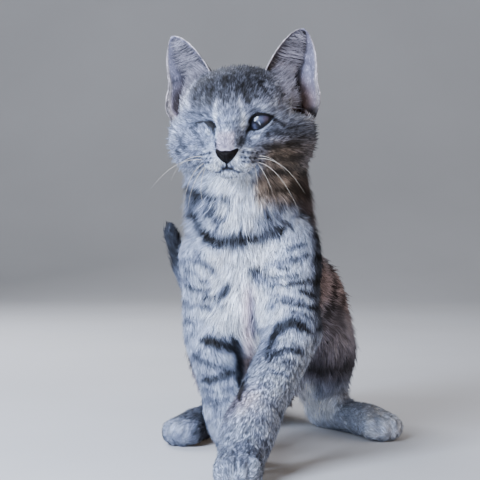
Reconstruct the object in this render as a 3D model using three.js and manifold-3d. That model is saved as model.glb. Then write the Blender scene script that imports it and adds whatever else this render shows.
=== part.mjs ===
// A kitten about eleven weeks old, sitting, with its left forepaw set down ahead of its right one.
// Millimetres, +Z up. It faces -Y, and its own left side is +X. The solids reach to the tips of the coat.
import * as THREE from "three";
import { LoftGeometry } from "three/addons/geometries/LoftGeometry.js";
import { mergeVertices } from "three/addons/utils/BufferGeometryUtils.js";
import Module from "manifold-3d";

const wasm = await Module();
wasm.setup();

// ---- Driving dimensions ----

const headWidth = 81; // across the cheeks
const headHeight = 184; // from the floor to the middle of the head
const headTurn = THREE.MathUtils.degToRad(10.5); // the face looks a little to the kitten's right
const headTilt = THREE.MathUtils.degToRad(1.5); // the left ear stands a little higher
const eyeSpacing = 30;
const eyeRadius = 8.2;
const earHeight = 43.2;
const earReach = { left: 1.4, right: 4 }; // how far the tip stands outwards of the ear's middle
const earLean = 1.2; // both ears lean a little to the kitten's right
const earWidth = 34;
const legThickness = 26; // across the forearm with its coat
const pawWidth = 26;
const tailThickness = 17; // at the root
const seam = 0.3; // the gap between neighbouring pieces
const floorThickness = 60;
const smallestStep = 0.12; // finer steps than this are levelled out of the faces

const silver = 0x9aa0aa;
const slate = 0x5d636e;
const white = 0xc9ced8;
const charcoal = 0x2e2d33;

// ---- Joints of the skeleton, with the middle of the chest on the line x = 5 ----

const at = (x, y, z) => new THREE.Vector3(x, y, z);
const facing = at(0, -1, 0);
const upward = at(0, 0, 1);

const rump = at(14, 166, 38);
const loin = at(18, 128, 62);
const ribs = at(14, 96, 92);
const breast = at(8, 68, 106);
const neckRoot = at(5, 48, 136);
const nape = at(1, 36, 172);
const skull = at(-0.2, 22, headHeight);

const leftLeg = {
  scapula: at(24, 60, 138),
  shoulder: at(28, 28, 112),
  elbow: at(29, 10, 70),
  wrist: at(5, -30, 26),
  paw: at(0, -51, 0),
  toesTo: THREE.MathUtils.degToRad(-8),
};
const rightLeg = {
  scapula: at(-12, 64, 138),
  shoulder: at(-16.5, 30, 110),
  elbow: at(-17, 40, 70),
  wrist: at(-4, 17, 21),
  paw: at(1, 3, 0),
  toesTo: THREE.MathUtils.degToRad(-4),
};
const leftHaunch = {
  hip: at(38, 150, 57),
  knee: at(52, 104, 50),
  hock: at(50, 128, 14),
  paw: at(79, 86, 0),
  toesTo: THREE.MathUtils.degToRad(28),
};
const rightHaunch = {
  hip: at(-2, 150, 54),
  knee: at(-13, 104, 50),
  hock: at(-5, 118, 14),
  paw: at(-29, 70, 0),
  toesTo: THREE.MathUtils.degToRad(-30),
};
const tailPath = [
  at(13, 174, 26),
  at(14, 197, 15),
  at(3, 211, 16),
  at(-13, 213, 33),
  at(-26, 208, 60),
  at(-37, 200, 90),
  at(-45, 191, 117),
];

// ---- Forms: each gives the distance from a point to a simple rounded mass, negative inside ----

function ball(centre, radii) {
  const { x: rx, y: ry, z: rz } = radii;
  return (p) => {
    const q = p.clone().sub(centre);
    const scaled = Math.hypot(q.x / rx, q.y / ry, q.z / rz);
    const slope = Math.hypot(q.x / rx ** 2, q.y / ry ** 2, q.z / rz ** 2);
    return slope < 1e-9 ? -Math.min(rx, ry, rz) : (scaled * (scaled - 1)) / slope;
  };
}

function limb(from, to, startRadius, endRadius) {
  const run = to.clone().sub(from);
  return (p) => {
    const t = THREE.MathUtils.clamp(p.clone().sub(from).dot(run) / run.lengthSq(), 0, 1);
    const nearest = from.clone().addScaledVector(run, t);
    return p.distanceTo(nearest) - THREE.MathUtils.lerp(startRadius, endRadius, t);
  };
}

// The forms run together in soft hollows about as wide as the blend.
function flesh(forms, blend) {
  return (p) =>
    forms
      .map((form) => form(p))
      .reduce((a, b) => {
        const overlap = Math.max(blend - Math.abs(a - b), 0) / blend;
        return Math.min(a, b) - (overlap * overlap * blend) / 4;
      });
}

const mirrored = (p) => at(-p.x, p.y, p.z);
const bothSides = (centre, radii) => [ball(centre, radii), ball(mirrored(centre), radii)];

// ---- Lofts: rings of points where rays from a spine leave the flesh ----

function leave(origin, direction, body, grow) {
  const step = 1;
  const reach = 90;
  const inside = (s) => body(origin.clone().addScaledVector(direction, s)) < grow;
  let far = step;
  while (inside(far) && far < reach) far += step;
  let near = far - step;
  for (let halving = 0; halving < 12; halving++) {
    const middle = (near + far) / 2;
    if (inside(middle)) near = middle;
    else far = middle;
  }
  return origin.clone().addScaledVector(direction, near);
}

function loft(spinePoints, body, { rings, endRings, points, front, grow = 0 }) {
  const spine = new THREE.CatmullRomCurve3(spinePoints, false, "centripetal");
  const sections = [];
  const ring = (t, lean) => {
    const centre = spine.getPointAt(t);
    const along = spine.getTangentAt(t);
    const side = along.clone().cross(front).normalize();
    const top = side.clone().cross(along);
    const section = [];
    for (let i = 0; i < points; i++) {
      const angle = (i / points) * 2 * Math.PI;
      const direction = top
        .clone()
        .multiplyScalar(Math.cos(angle) * Math.cos(lean))
        .addScaledVector(side, Math.sin(angle) * Math.cos(lean))
        .addScaledVector(along, Math.sin(lean));
      section.push(leave(centre, direction, body, grow));
    }
    sections.push(section);
  };
  const steepest = Math.PI / 2;
  for (let i = endRings; i >= 1; i--) ring(0, (-steepest * (i - 0.4)) / endRings);
  for (let i = 0; i <= rings; i++) ring(i / rings, 0);
  for (let i = 1; i <= endRings; i++) ring(1, (steepest * (i - 0.4)) / endRings);
  return new LoftGeometry(sections, { capStart: true, capEnd: true });
}

// ---- Solids ----

function solid(geometry, place = new THREE.Matrix4()) {
  geometry.applyMatrix4(place);
  geometry.deleteAttribute("normal");
  geometry.deleteAttribute("uv");
  const merged = mergeVertices(geometry, 1e-4);
  const triVerts = new Uint32Array(merged.index.array);
  const make = () =>
    new wasm.Manifold(
      new wasm.Mesh({ numProp: 3, vertProperties: merged.attributes.position.array, triVerts }),
    );
  const made = make();
  if (made.volume() > 0) return made;
  for (let i = 0; i < triVerts.length; i += 3)
    [triVerts[i + 1], triVerts[i + 2]] = [triVerts[i + 2], triVerts[i + 1]];
  return make();
}

function geometryOf(made) {
  const { numProp, numVert, vertProperties, triVerts } = made.getMesh();
  const positions = new Float32Array(numVert * 3);
  for (let i = 0; i < numVert; i++)
    positions.set(vertProperties.subarray(i * numProp, i * numProp + 3), i * 3);
  const geometry = new THREE.BufferGeometry();
  geometry.setAttribute("position", new THREE.BufferAttribute(positions, 3));
  geometry.setIndex(new THREE.BufferAttribute(triVerts, 1));
  geometry.computeVertexNormals();
  return geometry;
}

// A cut can leave crumbs beside the main piece, and only the main piece is kept.
const largest = (made) => made.decompose().sort((a, b) => b.volume() - a.volume())[0];

// ---- Trunk and neck: one loft from the rump to the skull ----

const trunkFlesh = flesh(
  [
    ball(at(13, 158, 38), at(27, 30, 42)), // pelvis and rump, on the floor
    ball(at(18, 142, 64), at(29, 27, 35)), // lower back
    ball(at(27, 122, 68), at(40, 35, 46)), // belly and loin
    ball(at(13, 88, 92), at(34, 36, 38)), // ribcage
    ball(at(7, 54, 106), at(31, 35, 38)), // front of the chest
    ball(at(6, 33, 84), at(23, 21, 38)), // long coat on the breastbone
    ball(at(6, 68, 130), at(28, 28, 24)), // withers
    limb(neckRoot, nape, 36, 33),
  ],
  14,
);

function trunkAndNeck() {
  const shape = { rings: 18, endRings: 3, points: 16, front: facing };
  return solid(loft([rump, loin, ribs, breast, neckRoot, nape], trunkFlesh, shape));
}

// ---- Head, modelled looking along -Y with its middle at the origin ----

const half = headWidth / 2;
const eyeCentre = at(eyeSpacing / 2 - 0.6, -18.8, -1);
const skullForms = [
  ball(at(0, 5, 3), at(half * 0.88, 34, 26.5)), // cranium
  ball(at(0, -6, 12), at(half * 0.6, 20, 14)), // forehead
  ...bothSides(at(half * 0.5, 8, -8), at(half * 0.5, 24, 20)), // cheeks
  ...bothSides(at(half * 0.44, 4, -17), at(half * 0.46, 20, 14)), // jowls
  ...bothSides(at(half * 0.5, -9, -13), at(half * 0.32, 14, 12)), // between cheek and muzzle
  ...bothSides(at(half * 0.37, -15, 9), at(11, 12, 9)), // brows
  ...bothSides(at(half * 0.38, -18, -11), at(11, 12, 8)), // under the eyes
  ball(at(0, -23, -18.5), at(14, 14, 9)), // muzzle
  limb(at(0, -22, 7), at(0, -35.5, -12), 8.5, 6), // bridge of the nose
];
const lipForms = [
  ...bothSides(at(6.6, -32, -21.2), at(7.6, 8.8, 6.4)), // whisker pads
  ball(at(0, -29.5, -26.8), at(7, 7.4, 4.8)), // chin
];
const headForms = [flesh(skullForms, 7), ...lipForms];
const hollow = (form, soften) => (body) => (p) => {
  const cut = -form(p);
  const near = body(p);
  const overlap = Math.max(soften - Math.abs(near - cut), 0) / soften;
  return Math.max(near, cut) + (overlap * overlap * soften) / 4;
};
const sockets = [
  hollow(ball(at(eyeSpacing / 2 + 0.5, -37, -1.5), at(9, 7, 6.5)), 5), // round the open eye
  hollow(ball(at(-eyeSpacing / 2 - 0.5, -36, -2.5), at(9.5, 7, 5.5)), 6), // the closed, sunken lids
];
const headFlesh = sockets.reduce((body, sink) => sink(body), flesh(headForms, 2.5));
const headSpine = [at(0, 14, 2), at(0, 0, 0), at(0, -16, -7)];

const headPlace = new THREE.Matrix4().compose(
  skull,
  new THREE.Quaternion().setFromEuler(new THREE.Euler(0, -headTilt, -headTurn, "ZXY")),
  at(1, 1, 1),
);

function headLoft(grow) {
  const shape = { rings: 6, endRings: 8, points: 32, front: upward, grow };
  return solid(loft(headSpine, headFlesh, shape), headPlace);
}

// The lids open in an almond that slants up and outwards.
function eyeOpening() {
  const length = 12.6;
  const rise = 5.2;
  const almond = new THREE.Shape();
  almond.moveTo(-length / 2, -1.2);
  almond.quadraticCurveTo(-1.5, rise * 1.55, length / 2, 0.8);
  almond.quadraticCurveTo(1, -rise * 1.35, -length / 2, -1.2);
  const through = new THREE.ExtrudeGeometry(almond, { depth: 30, bevelEnabled: false, curveSegments: 8 });
  const stand = new THREE.Matrix4().makeRotationX(Math.PI / 2);
  const slant = new THREE.Matrix4().makeRotationY(THREE.MathUtils.degToRad(-22));
  const outward = new THREE.Matrix4().makeRotationZ(THREE.MathUtils.degToRad(12));
  const moved = new THREE.Matrix4().makeTranslation(eyeCentre.x, eyeCentre.y, eyeCentre.z);
  return solid(through, headPlace.clone().multiply(moved).multiply(outward).multiply(slant).multiply(stand));
}

function eyeball(grow) {
  const place = headPlace.clone().multiply(new THREE.Matrix4().makeTranslation(...eyeCentre));
  return solid(new THREE.SphereGeometry(eyeRadius + grow, 16, 10), place);
}

// The bare leather of the nose: two wings over a narrow foot.
function noseLeather(grow) {
  const leather = flesh(
    [
      ...bothSides(at(2.9, -39.4, -16.9), at(3.1, 3.4, 2.3)),
      ball(at(0, -39.6, -18), at(2.8, 3.4, 3)),
      ball(at(0, -39.2, -20.2), at(1.9, 2.8, 2.6)),
    ],
    1.5,
  );
  const shape = { rings: 2, endRings: 3, points: 14, front: upward, grow };
  return solid(loft([at(0, -38, -18), at(0, -40, -18.2)], leather, shape), headPlace);
}

// An ear is a thin cupped leaf. Across it runs from the inner edge, -1, to the outer edge, 1.
function earLeaf(side) {
  const root = at(side * 24.2, 6, 9);
  const lean = at(side * 11 - earLean, 5, earHeight).normalize();
  const opening = at(side * Math.sin(0.56), -Math.cos(0.56), 0.12).normalize();
  const outer = lean.clone().cross(opening).multiplyScalar(side).normalize();
  const reach = side > 0 ? earReach.left : earReach.right;
  const thickness = 2.6;
  const leaf = new THREE.SphereGeometry(1, 12, 11);
  const position = leaf.getAttribute("position");
  for (let i = 0; i < position.count; i++) {
    const disc = at().fromBufferAttribute(position, i);
    const height = (disc.y + 1) / 2;
    const across = disc.x / Math.max(Math.sqrt(1 - disc.y * disc.y), 1e-6);
    const halfWidth = (earWidth / 2) * Math.pow(1 - Math.pow(height, 1.7), 0.62);
    const cup = 13 * Math.pow(1 - height, 0.8);
    const wrap = THREE.MathUtils.lerp(1.75, 1.1, height);
    const angle = across * wrap;
    const point = root
      .clone()
      .addScaledVector(lean, height * earHeight)
      .addScaledVector(outer, (halfWidth * Math.sin(angle)) / Math.sin(Math.min(wrap, Math.PI / 2)))
      .addScaledVector(outer, reach * Math.pow(height, 3))
      .addScaledVector(opening, -cup * (Math.cos(angle) - Math.cos(wrap)))
      .addScaledVector(opening, (disc.z * thickness) / 2);
    position.setXYZ(i, point.x, point.y, point.z);
  }
  return solid(leaf, headPlace);
}

// ---- Forelegs ----

function foreleg(bones, grow) {
  const { scapula, shoulder, elbow, wrist, paw } = bones;
  const r = legThickness / 2;
  const muscle = flesh(
    [
      limb(scapula, shoulder, r * 0.8, r * 1.2),
      limb(shoulder, elbow, r * 1.25, r * 1.02),
      limb(elbow, wrist, r * 1.12, r),
      limb(wrist, at(paw.x, paw.y + 6, 10), r, r * 0.95),
    ],
    9,
  );
  const shape = { rings: 10, endRings: 2, points: 12, front: facing, grow };
  return solid(loft([scapula, shoulder, elbow, wrist, at(paw.x, paw.y + 8, 12)], muscle, shape));
}

// ---- Paws, modelled with the toes towards -Y and the middle of the paw over the origin ----

function pawForms(width, length, height) {
  const toe = (x, y, r) => ball(at(x, y, height * 0.42), at(r, r * 1.5, height * 0.46));
  return [
    ball(at(0, length * 0.1, height * 0.56), at(width * 0.42, length * 0.38, height * 0.56)),
    toe(-width * 0.34, -length * 0.22, width * 0.16),
    toe(-width * 0.12, -length * 0.34, width * 0.165),
    toe(width * 0.12, -length * 0.34, width * 0.165),
    toe(width * 0.34, -length * 0.22, width * 0.16),
  ];
}

function paw(bones, length, height, heel, grow) {
  const turn = new THREE.Matrix4().makeRotationZ(bones.toesTo);
  const place = new THREE.Matrix4().makeTranslation(bones.paw.x, bones.paw.y, 0).multiply(turn);
  const heelHere = heel.clone().applyMatrix4(place.clone().invert());
  const middle = at(0, length * 0.05, height * 0.55);
  const fleshy = flesh(
    [...pawForms(pawWidth, length, height), limb(middle, heelHere, height * 0.52, height * 0.6)],
    3.2,
  );
  const shape = { rings: 4, endRings: 4, points: 16, front: upward, grow };
  const spine = [heelHere, middle, at(0, -length * 0.2, height * 0.42)];
  return solid(loft(spine, fleshy, shape), place);
}

const forepaw = (bones, grow) =>
  paw(bones, 34, 19, bones.wrist.clone().lerp(at(bones.paw.x, bones.paw.y + 6, 10), 0.35), grow);
const hindpaw = (bones, grow) => paw(bones, 36, 17, bones.hock.clone().setZ(10), grow);

// ---- Haunches: thigh and shank folded together ----

function haunch(bones, grow) {
  const { hip, knee, hock } = bones;
  const outward = Math.sign(knee.x - hip.x) * 5;
  const thigh = hip.clone().lerp(knee, 0.55);
  const muscle = flesh(
    [
      ball(at(thigh.x + outward * 0.5, thigh.y - 2, 52), at(20, 38, 39)),
      limb(hip, knee, 15, 14),
      limb(knee, hock, 14, 11),
    ],
    10,
  );
  const shape = { rings: 6, endRings: 3, points: 12, front: upward, grow };
  return solid(loft([hip, at(thigh.x, thigh.y, 48), knee.clone().setZ(40)], muscle, shape));
}

// ---- Tail ----

function tail(grow) {
  const root = tailThickness / 2;
  const bones = tailPath.slice(1).map((to, i) => {
    const share = (k) => root * (1 - (0.34 * k) / (tailPath.length - 1));
    return limb(tailPath[i], to, share(i), share(i + 1));
  });
  const shape = { rings: 16, endRings: 2, points: 10, front: upward, grow };
  return solid(loft(tailPath, flesh(bones, 3), shape));
}

// ---- Cutting the pieces apart ----

// A block that fills one side of the plane through a point.
function beyond(point, normal) {
  const size = 400;
  const turn = new THREE.Quaternion().setFromUnitVectors(upward, normal);
  const centre = point.clone().addScaledVector(normal, size / 2);
  const place = new THREE.Matrix4().compose(centre, turn, at(1, 1, 1));
  return solid(new THREE.BoxGeometry(size, size, size), place);
}

const floorBlock = solid(
  new THREE.BoxGeometry(900, 900, floorThickness),
  new THREE.Matrix4().makeTranslation(0, 0, -floorThickness / 2),
);
const onFloor = (made) => made.subtract(floorBlock);
const without = (made, ...others) => others.reduce((left, other) => left.subtract(other), made);

// Each piece is made twice, as itself and grown by the seam, and takes its room before those after it.
const maker = {
  head: headLoft,
  nose: noseLeather,
  eye_left: eyeball,
  ear_left: () => earLeaf(1),
  ear_right: () => earLeaf(-1),
  forepaw_left: (grow) => forepaw(leftLeg, grow),
  forepaw_right: (grow) => forepaw(rightLeg, grow),
  hindpaw_left: (grow) => hindpaw(leftHaunch, grow),
  hindpaw_right: (grow) => hindpaw(rightHaunch, grow),
  foreleg_left: (grow) => foreleg(leftLeg, grow),
  foreleg_right: (grow) => foreleg(rightLeg, grow),
  haunch_left: (grow) => haunch(leftHaunch, grow),
  haunch_right: (grow) => haunch(rightHaunch, grow),
  tail,
};
const yields = {
  ear_left: ["head"],
  ear_right: ["head"],
  foreleg_left: ["head", "forepaw_left"],
  foreleg_right: ["head", "forepaw_right", "foreleg_left", "forepaw_left"],
  haunch_left: ["hindpaw_left", "foreleg_left"],
  haunch_right: ["hindpaw_right", "haunch_left", "foreleg_right"],
  tail: ["haunch_left", "haunch_right"],
};
const grown = Object.fromEntries(Object.entries(maker).map(([name, make]) => [name, make(seam)]));
const plain = Object.fromEntries(Object.entries(maker).map(([name, make]) => [name, make(0)]));
for (const [name, others] of Object.entries(yields))
  plain[name] = without(plain[name], ...others.map((other) => grown[other]));
plain.head = without(plain.head, grown.eye_left, eyeOpening(), grown.nose);

const neckLine = at(0, -0.42, 0.91).normalize();
const neckFoot = neckRoot.clone().addScaledVector(neckLine, 6);
const neckSeam = neckFoot.clone().addScaledVector(neckLine, seam);
const whole = without(
  trunkAndNeck(),
  ...["head", "tail", "forepaw_left", "forepaw_right", "hindpaw_left", "hindpaw_right"].map((name) => grown[name]),
  ...["foreleg_left", "foreleg_right", "haunch_left", "haunch_right"].map((name) => grown[name]),
);
plain.trunk = whole.subtract(beyond(neckFoot, neckLine));
plain.neck = whole.intersect(beyond(neckSeam, neckLine));

const colours = { nose: charcoal, eye_left: charcoal, ear_left: slate, ear_right: slate, tail: slate };
const isPaw = (name) => name.includes("paw");

const kitten = new THREE.Group();
for (const [name, made] of Object.entries(plain)) {
  const color = colours[name] ?? (isPaw(name) ? white : silver);
  const roughness = name === "eye_left" ? 0.1 : 0.9;
  const mesh = new THREE.Mesh(
    geometryOf(largest(onFloor(made).simplify(smallestStep))),
    new THREE.MeshStandardMaterial({ color, roughness, metalness: 0 }),
  );
  mesh.name = name;
  kitten.add(mesh);
}

// The origin is the middle of the footprint, on the floor.
const extent = new THREE.Box3().setFromObject(kitten);
const middle = extent.getCenter(at(0, 0, 0));
kitten.position.set(-middle.x, -middle.y, -extent.min.z);
kitten.updateMatrixWorld(true);

export default kitten;
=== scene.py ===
"""A sitting silver tabby kitten: one soft skin, a coat of solid tufts, eye, nose leather and whiskers."""

import math

import bmesh
import bpy
import numpy as np
from mathutils import Matrix, Vector
from mathutils.bvhtree import BVHTree
from mathutils.kdtree import KDTree


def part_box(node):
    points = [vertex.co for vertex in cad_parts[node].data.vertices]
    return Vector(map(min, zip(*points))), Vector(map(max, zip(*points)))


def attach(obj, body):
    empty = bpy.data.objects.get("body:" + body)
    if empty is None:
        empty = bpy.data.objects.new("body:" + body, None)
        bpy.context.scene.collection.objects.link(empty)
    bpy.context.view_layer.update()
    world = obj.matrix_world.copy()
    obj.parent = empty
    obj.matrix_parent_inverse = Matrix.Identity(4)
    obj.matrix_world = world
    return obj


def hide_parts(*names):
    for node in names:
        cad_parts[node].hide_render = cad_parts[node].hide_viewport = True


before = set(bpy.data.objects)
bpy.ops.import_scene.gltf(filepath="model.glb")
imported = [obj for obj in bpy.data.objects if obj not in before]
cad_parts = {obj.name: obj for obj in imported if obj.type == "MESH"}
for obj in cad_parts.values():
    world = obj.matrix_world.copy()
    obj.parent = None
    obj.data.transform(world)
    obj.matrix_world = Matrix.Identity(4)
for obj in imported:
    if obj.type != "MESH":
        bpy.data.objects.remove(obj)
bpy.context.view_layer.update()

bl_info = {
    "name": "Tabby kitten",
    "version": (1, 0, 0),
    "blender": (4, 5, 0),
    "location": "View3D > Sidebar > Kitten",
    "description": "Builds the skin, coat, eye, nose and whiskers of a sitting kitten, and its studio",
    "category": "Object",
}

MM = 0.001
FLESH = (
    "head", "neck", "trunk", "tail", "ear_left", "ear_right",
    "foreleg_left", "foreleg_right", "forepaw_left", "forepaw_right",
    "haunch_left", "haunch_right", "hindpaw_left", "hindpaw_right",
)


# ---- Measures: the kitten's own millimetres, with the skull's middle at a known place ----

def centre_of(node):
    """The middle of a node's box, in millimetres."""
    low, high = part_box(node)
    return (np.array(low) + np.array(high)) / 2 / MM


def turned(turn, tilt):
    """Axes turned about the upright and tilted to one side, both in radians."""
    return np.array(Matrix.Rotation(-turn, 3, "Z") @ Matrix.Rotation(-tilt, 3, "Y"))


HEAD_AXES = turned(math.radians(10.5), math.radians(1.5))
EYE = np.array((14.4, -18.8, -1.0))  # the open eye from the skull's middle
EYE_RADIUS = 8.2
SKULL = np.array((-0.2, 22.0, 184.0))
SHIFT = centre_of("eye_left") - HEAD_AXES @ EYE - SKULL  # from the kitten's millimetres to the frame's


def to_frame(points):
    """From the kitten's millimetres to the frame's metres."""
    return (np.asarray(points, float) + SHIFT) * MM


def to_kitten(points):
    """From the frame's metres to the kitten's millimetres."""
    return np.asarray(points, float) / MM - SHIFT


def to_head(points):
    """From the kitten's millimetres to the head's own, round the skull's middle."""
    return (points - SKULL) @ HEAD_AXES


def from_head(points):
    """From the head's own millimetres to the kitten's."""
    return np.asarray(points, float) @ HEAD_AXES.T + SKULL


# ---- Small sums on arrays ----

def smooth(low, high, x):
    """0 up to low and 1 from high, with a soft rise between. Low may be above high."""
    t = np.clip((x - low) / (high - low), 0, 1)
    return t * t * (3 - 2 * t)


def bump(x, middle, width):
    """1 at the middle, falling off softly on both sides."""
    return np.exp(-(((x - middle) / width) ** 2))


def dome(points, middle, reach):
    """1 at the middle, falling off softly over the reach each way."""
    return np.exp(-(((points - middle) / reach) ** 2).sum(axis=1))


def ball(points, middle, radius, power=2):
    """1 at the middle, falling off round it, with a flatter top and a sharper edge for a higher power."""
    return np.exp(-((np.linalg.norm(points - middle, axis=1) / radius) ** power))


def unit(vectors):
    """The same directions, each 1 long."""
    return vectors / np.maximum(np.linalg.norm(vectors, axis=-1, keepdims=True), 1e-9)


def mix(a, b, share):
    """The way from a to b by the share."""
    return a + (b - a) * share


def flatten(vectors, normals):
    """The part of each vector that lies in the surface."""
    return unit(vectors - normals * np.sum(vectors * normals, axis=1, keepdims=True))


WORD = 0xFFFFFFFF
HALF_WORD = 0xFFFF


def stirred(cells, seed):
    """A value from 0 to 1 for each cell, as good as random, from its three whole numbers."""
    x, y, z = cells.T
    mixed = (x * 73856093 ^ y * 19349663 ^ z * 83492791 ^ seed * 2654435761) & WORD
    for shift, factor in ((15, 2246822519), (13, 3266489917)):
        mixed = ((mixed ^ (mixed >> shift)) * factor) & WORD
    return ((mixed ^ (mixed >> 16)) & HALF_WORD) / HALF_WORD


def noise(points, size, seed=0):
    """Soft random values from 0 to 1, in blobs of about the size."""
    scaled = points / size + 100 + seed * 7.31
    cell = np.floor(scaled).astype(np.int64)
    part = scaled - cell
    part = part * part * (3 - 2 * part)
    total = np.zeros(len(points))
    for corner in range(8):
        step = np.array([corner & 1, (corner >> 1) & 1, corner >> 2])
        weight = np.prod(np.where(step, part, 1 - part), axis=1)
        total += stirred(cell + step, seed) * weight
    return total


def along(points, path):
    """Distance to a path of straight runs, and the share of its length at the nearest place."""
    path = np.asarray(path, float)
    runs = np.linalg.norm(np.diff(path, axis=0), axis=1)
    before = np.concatenate(([0], np.cumsum(runs)))
    best = np.full(len(points), 1e9)
    share = np.zeros(len(points))
    for i, run in enumerate(runs):
        step = path[i + 1] - path[i]
        t = np.clip((points - path[i]) @ step / (run * run), 0, 1)
        away = np.linalg.norm(points - path[i] - t[:, None] * step, axis=1)
        closer = away < best
        best = np.where(closer, away, best)
        share = np.where(closer, (before[i] + t * run) / before[-1], share)
    return best, share


def path_length(path):
    """The whole length of a path of straight runs."""
    return np.linalg.norm(np.diff(path, axis=0), axis=1).sum()


def linear(code):
    """A colour such as "8899AA" as linear light."""
    parts = np.array([int(code[i:i + 2], 16) / 255 for i in (0, 2, 4)])
    return np.where(parts <= 0.04045, parts / 12.92, ((parts + 0.055) / 1.055) ** 2.4)


# ---- Meshes ----

def mesh_object(name, points, faces):
    """A plain smooth mesh from points in metres and faces all of one number of corners."""
    faces = np.asarray(faces, np.int32)
    corners = faces.shape[1]
    mesh = bpy.data.meshes.new(name)
    mesh.vertices.add(len(points))
    mesh.vertices.foreach_set("co", np.asarray(points, np.float32).ravel())
    mesh.loops.add(faces.size)
    mesh.loops.foreach_set("vertex_index", faces.ravel())
    mesh.polygons.add(len(faces))
    mesh.polygons.foreach_set("loop_start", np.arange(0, faces.size, corners, dtype=np.int32))
    mesh.polygons.foreach_set("use_smooth", np.ones(len(faces), bool))
    mesh.update(calc_edges=True)
    made = bpy.data.objects.new(name, mesh)
    bpy.context.collection.objects.link(made)
    return made


def bands(rings, around, first=0):
    """The corners of the small fields between rings of points: two on each ring and two on the next."""
    step = np.arange(around)
    start = first + np.arange(rings - 1)[:, None] * around
    here = (start + step).ravel()
    beside = (start + (step + 1) % around).ravel()
    return here, beside, here + around, beside + around


def round_faces(rings, around):
    """Triangles from a first point out over the rings of points that follow it."""
    step = np.arange(around)
    fan = np.stack((0 * step, 1 + step, 1 + (step + 1) % around), axis=1)
    here, beside, below, below_beside = bands(rings, around, 1)
    fields = np.stack((here, below, below_beside, here, below_beside, beside), axis=1)
    return np.concatenate((fan, fields.reshape(-1, 3)))


def coords(mesh):
    flat = np.empty(len(mesh.vertices) * 3, np.float32)
    mesh.vertices.foreach_get("co", flat)
    return flat.reshape(-1, 3).astype(float)


def normals_of(mesh):
    flat = np.empty(len(mesh.vertices) * 3, np.float32)
    mesh.vertex_normals.foreach_get("vector", flat)
    return flat.reshape(-1, 3).astype(float)


def triangles_of(mesh):
    mesh.calc_loop_triangles()
    flat = np.empty(len(mesh.loop_triangles) * 3, np.int32)
    mesh.loop_triangles.foreach_get("vertices", flat)
    return flat.reshape(-1, 3)


def paint(mesh, name, colours):
    """Keeps a colour for each point of the mesh."""
    layer = mesh.color_attributes.new(name, "FLOAT_COLOR", "POINT")
    full = np.ones((len(colours), 4), np.float32)
    full[:, :3] = colours
    layer.data.foreach_set("color", full.ravel())


class Net:
    """Each point's neighbours over the mesh's edges."""

    def __init__(self, mesh):
        flat = np.empty(len(mesh.edges) * 2, np.int32)
        mesh.edges.foreach_get("vertices", flat)
        pairs = flat.reshape(-1, 2)
        self.here = np.concatenate((pairs[:, 0], pairs[:, 1]))
        self.there = np.concatenate((pairs[:, 1], pairs[:, 0]))
        self.count = len(mesh.vertices)
        self.degree = np.maximum(np.bincount(self.here, minlength=self.count), 1)

    def mean(self, values):
        """The mean of each point's neighbours."""
        if values.ndim == 1:
            return np.bincount(self.here, values[self.there], self.count) / self.degree
        return np.stack([self.mean(column) for column in values.T], axis=1)

    def soften(self, values, rounds, strength=1.0):
        """Draws each value towards its neighbours' mean, round after round."""
        for _ in range(rounds):
            values = values + strength * (self.mean(values) - values)
        return values

    def calm(self, points, rounds, strength):
        """Evens out facets and hollows, and puts back most of what that shrinks."""
        soft = self.soften(points, rounds, strength)
        return soft + self.soften(points - soft, rounds, strength)

    def even(self, points, rounds):
        """Smooths without shrinking: each round draws the points in and then out a little further."""
        for _ in range(rounds):
            points = points + 0.5 * (self.mean(points) - points)
            points = points - 0.52 * (self.mean(points) - points)
        return points


# ---- Skin ----

GROWTH = 0.4  # each form swells by this much, so that neighbours run into one another
SUNK = 0.95  # the skin lies this share of the coat's depth below the flesh's surface
LOWEST = {"skin": 0.3, "tuft": 0.15}  # how near to the floor the skin and the tufts may come
CHIN = -36  # the chin's height in the head's millimetres
SIDES = ((1, "left"), (-1, "right"))
# Rounds of smoothing for the nodes' shares, the whole skin, its broad parts, joints and fine parts, and the
# lie of the hair.
ROUNDS = {"shares": 12, "skin": 4, "broad": 40, "joints": 50, "fine": 5, "hair": 12}


def joined_flesh(grow):
    """The flesh without the ears as one mesh of loose forms, each swollen a little."""
    whole = bmesh.new()
    for name in FLESH + ("nose", "eye_left"):
        if "ear" in name:
            continue
        part = bmesh.new()
        part.from_mesh(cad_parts[name].data)
        part.normal_update()
        for vertex in part.verts:
            vertex.co += vertex.normal * grow * MM
        copy = bpy.data.meshes.new("copy")
        part.to_mesh(copy)
        whole.from_mesh(copy)
        part.free()
        bpy.data.meshes.remove(copy)
    mesh = bpy.data.meshes.new("flesh")
    whole.to_mesh(mesh)
    whole.free()
    return mesh


def remeshed(mesh, voxel):
    """One closed skin round all the forms."""
    thing = bpy.data.objects.new("flesh", mesh)
    bpy.context.collection.objects.link(thing)
    modifier = thing.modifiers.new("one skin", "REMESH")
    modifier.mode = "VOXEL"
    modifier.voxel_size = voxel * MM
    seen = thing.evaluated_get(bpy.context.evaluated_depsgraph_get())
    made = bpy.data.meshes.new_from_object(seen)
    bpy.data.objects.remove(thing)
    return made


def refine(mesh, chosen):
    """Cuts each edge of the faces whose middles are chosen in two, and fills them with smaller faces."""
    work = bmesh.new()
    work.from_mesh(mesh)
    work.faces.ensure_lookup_table()
    middles = to_kitten([face.calc_center_median() for face in work.faces])
    wanted = chosen(middles)
    edges = {edge for face, yes in zip(work.faces, wanted) if yes for edge in face.edges}
    bmesh.ops.subdivide_edges(work, edges=list(edges), cuts=1, use_grid_fill=True)
    work.to_mesh(mesh)
    work.free()


def near_face(points):
    """The face, which is refined once."""
    local = to_head(points)
    return (local[:, 1] < 4) & (local[:, 2] > CHIN)


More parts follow.
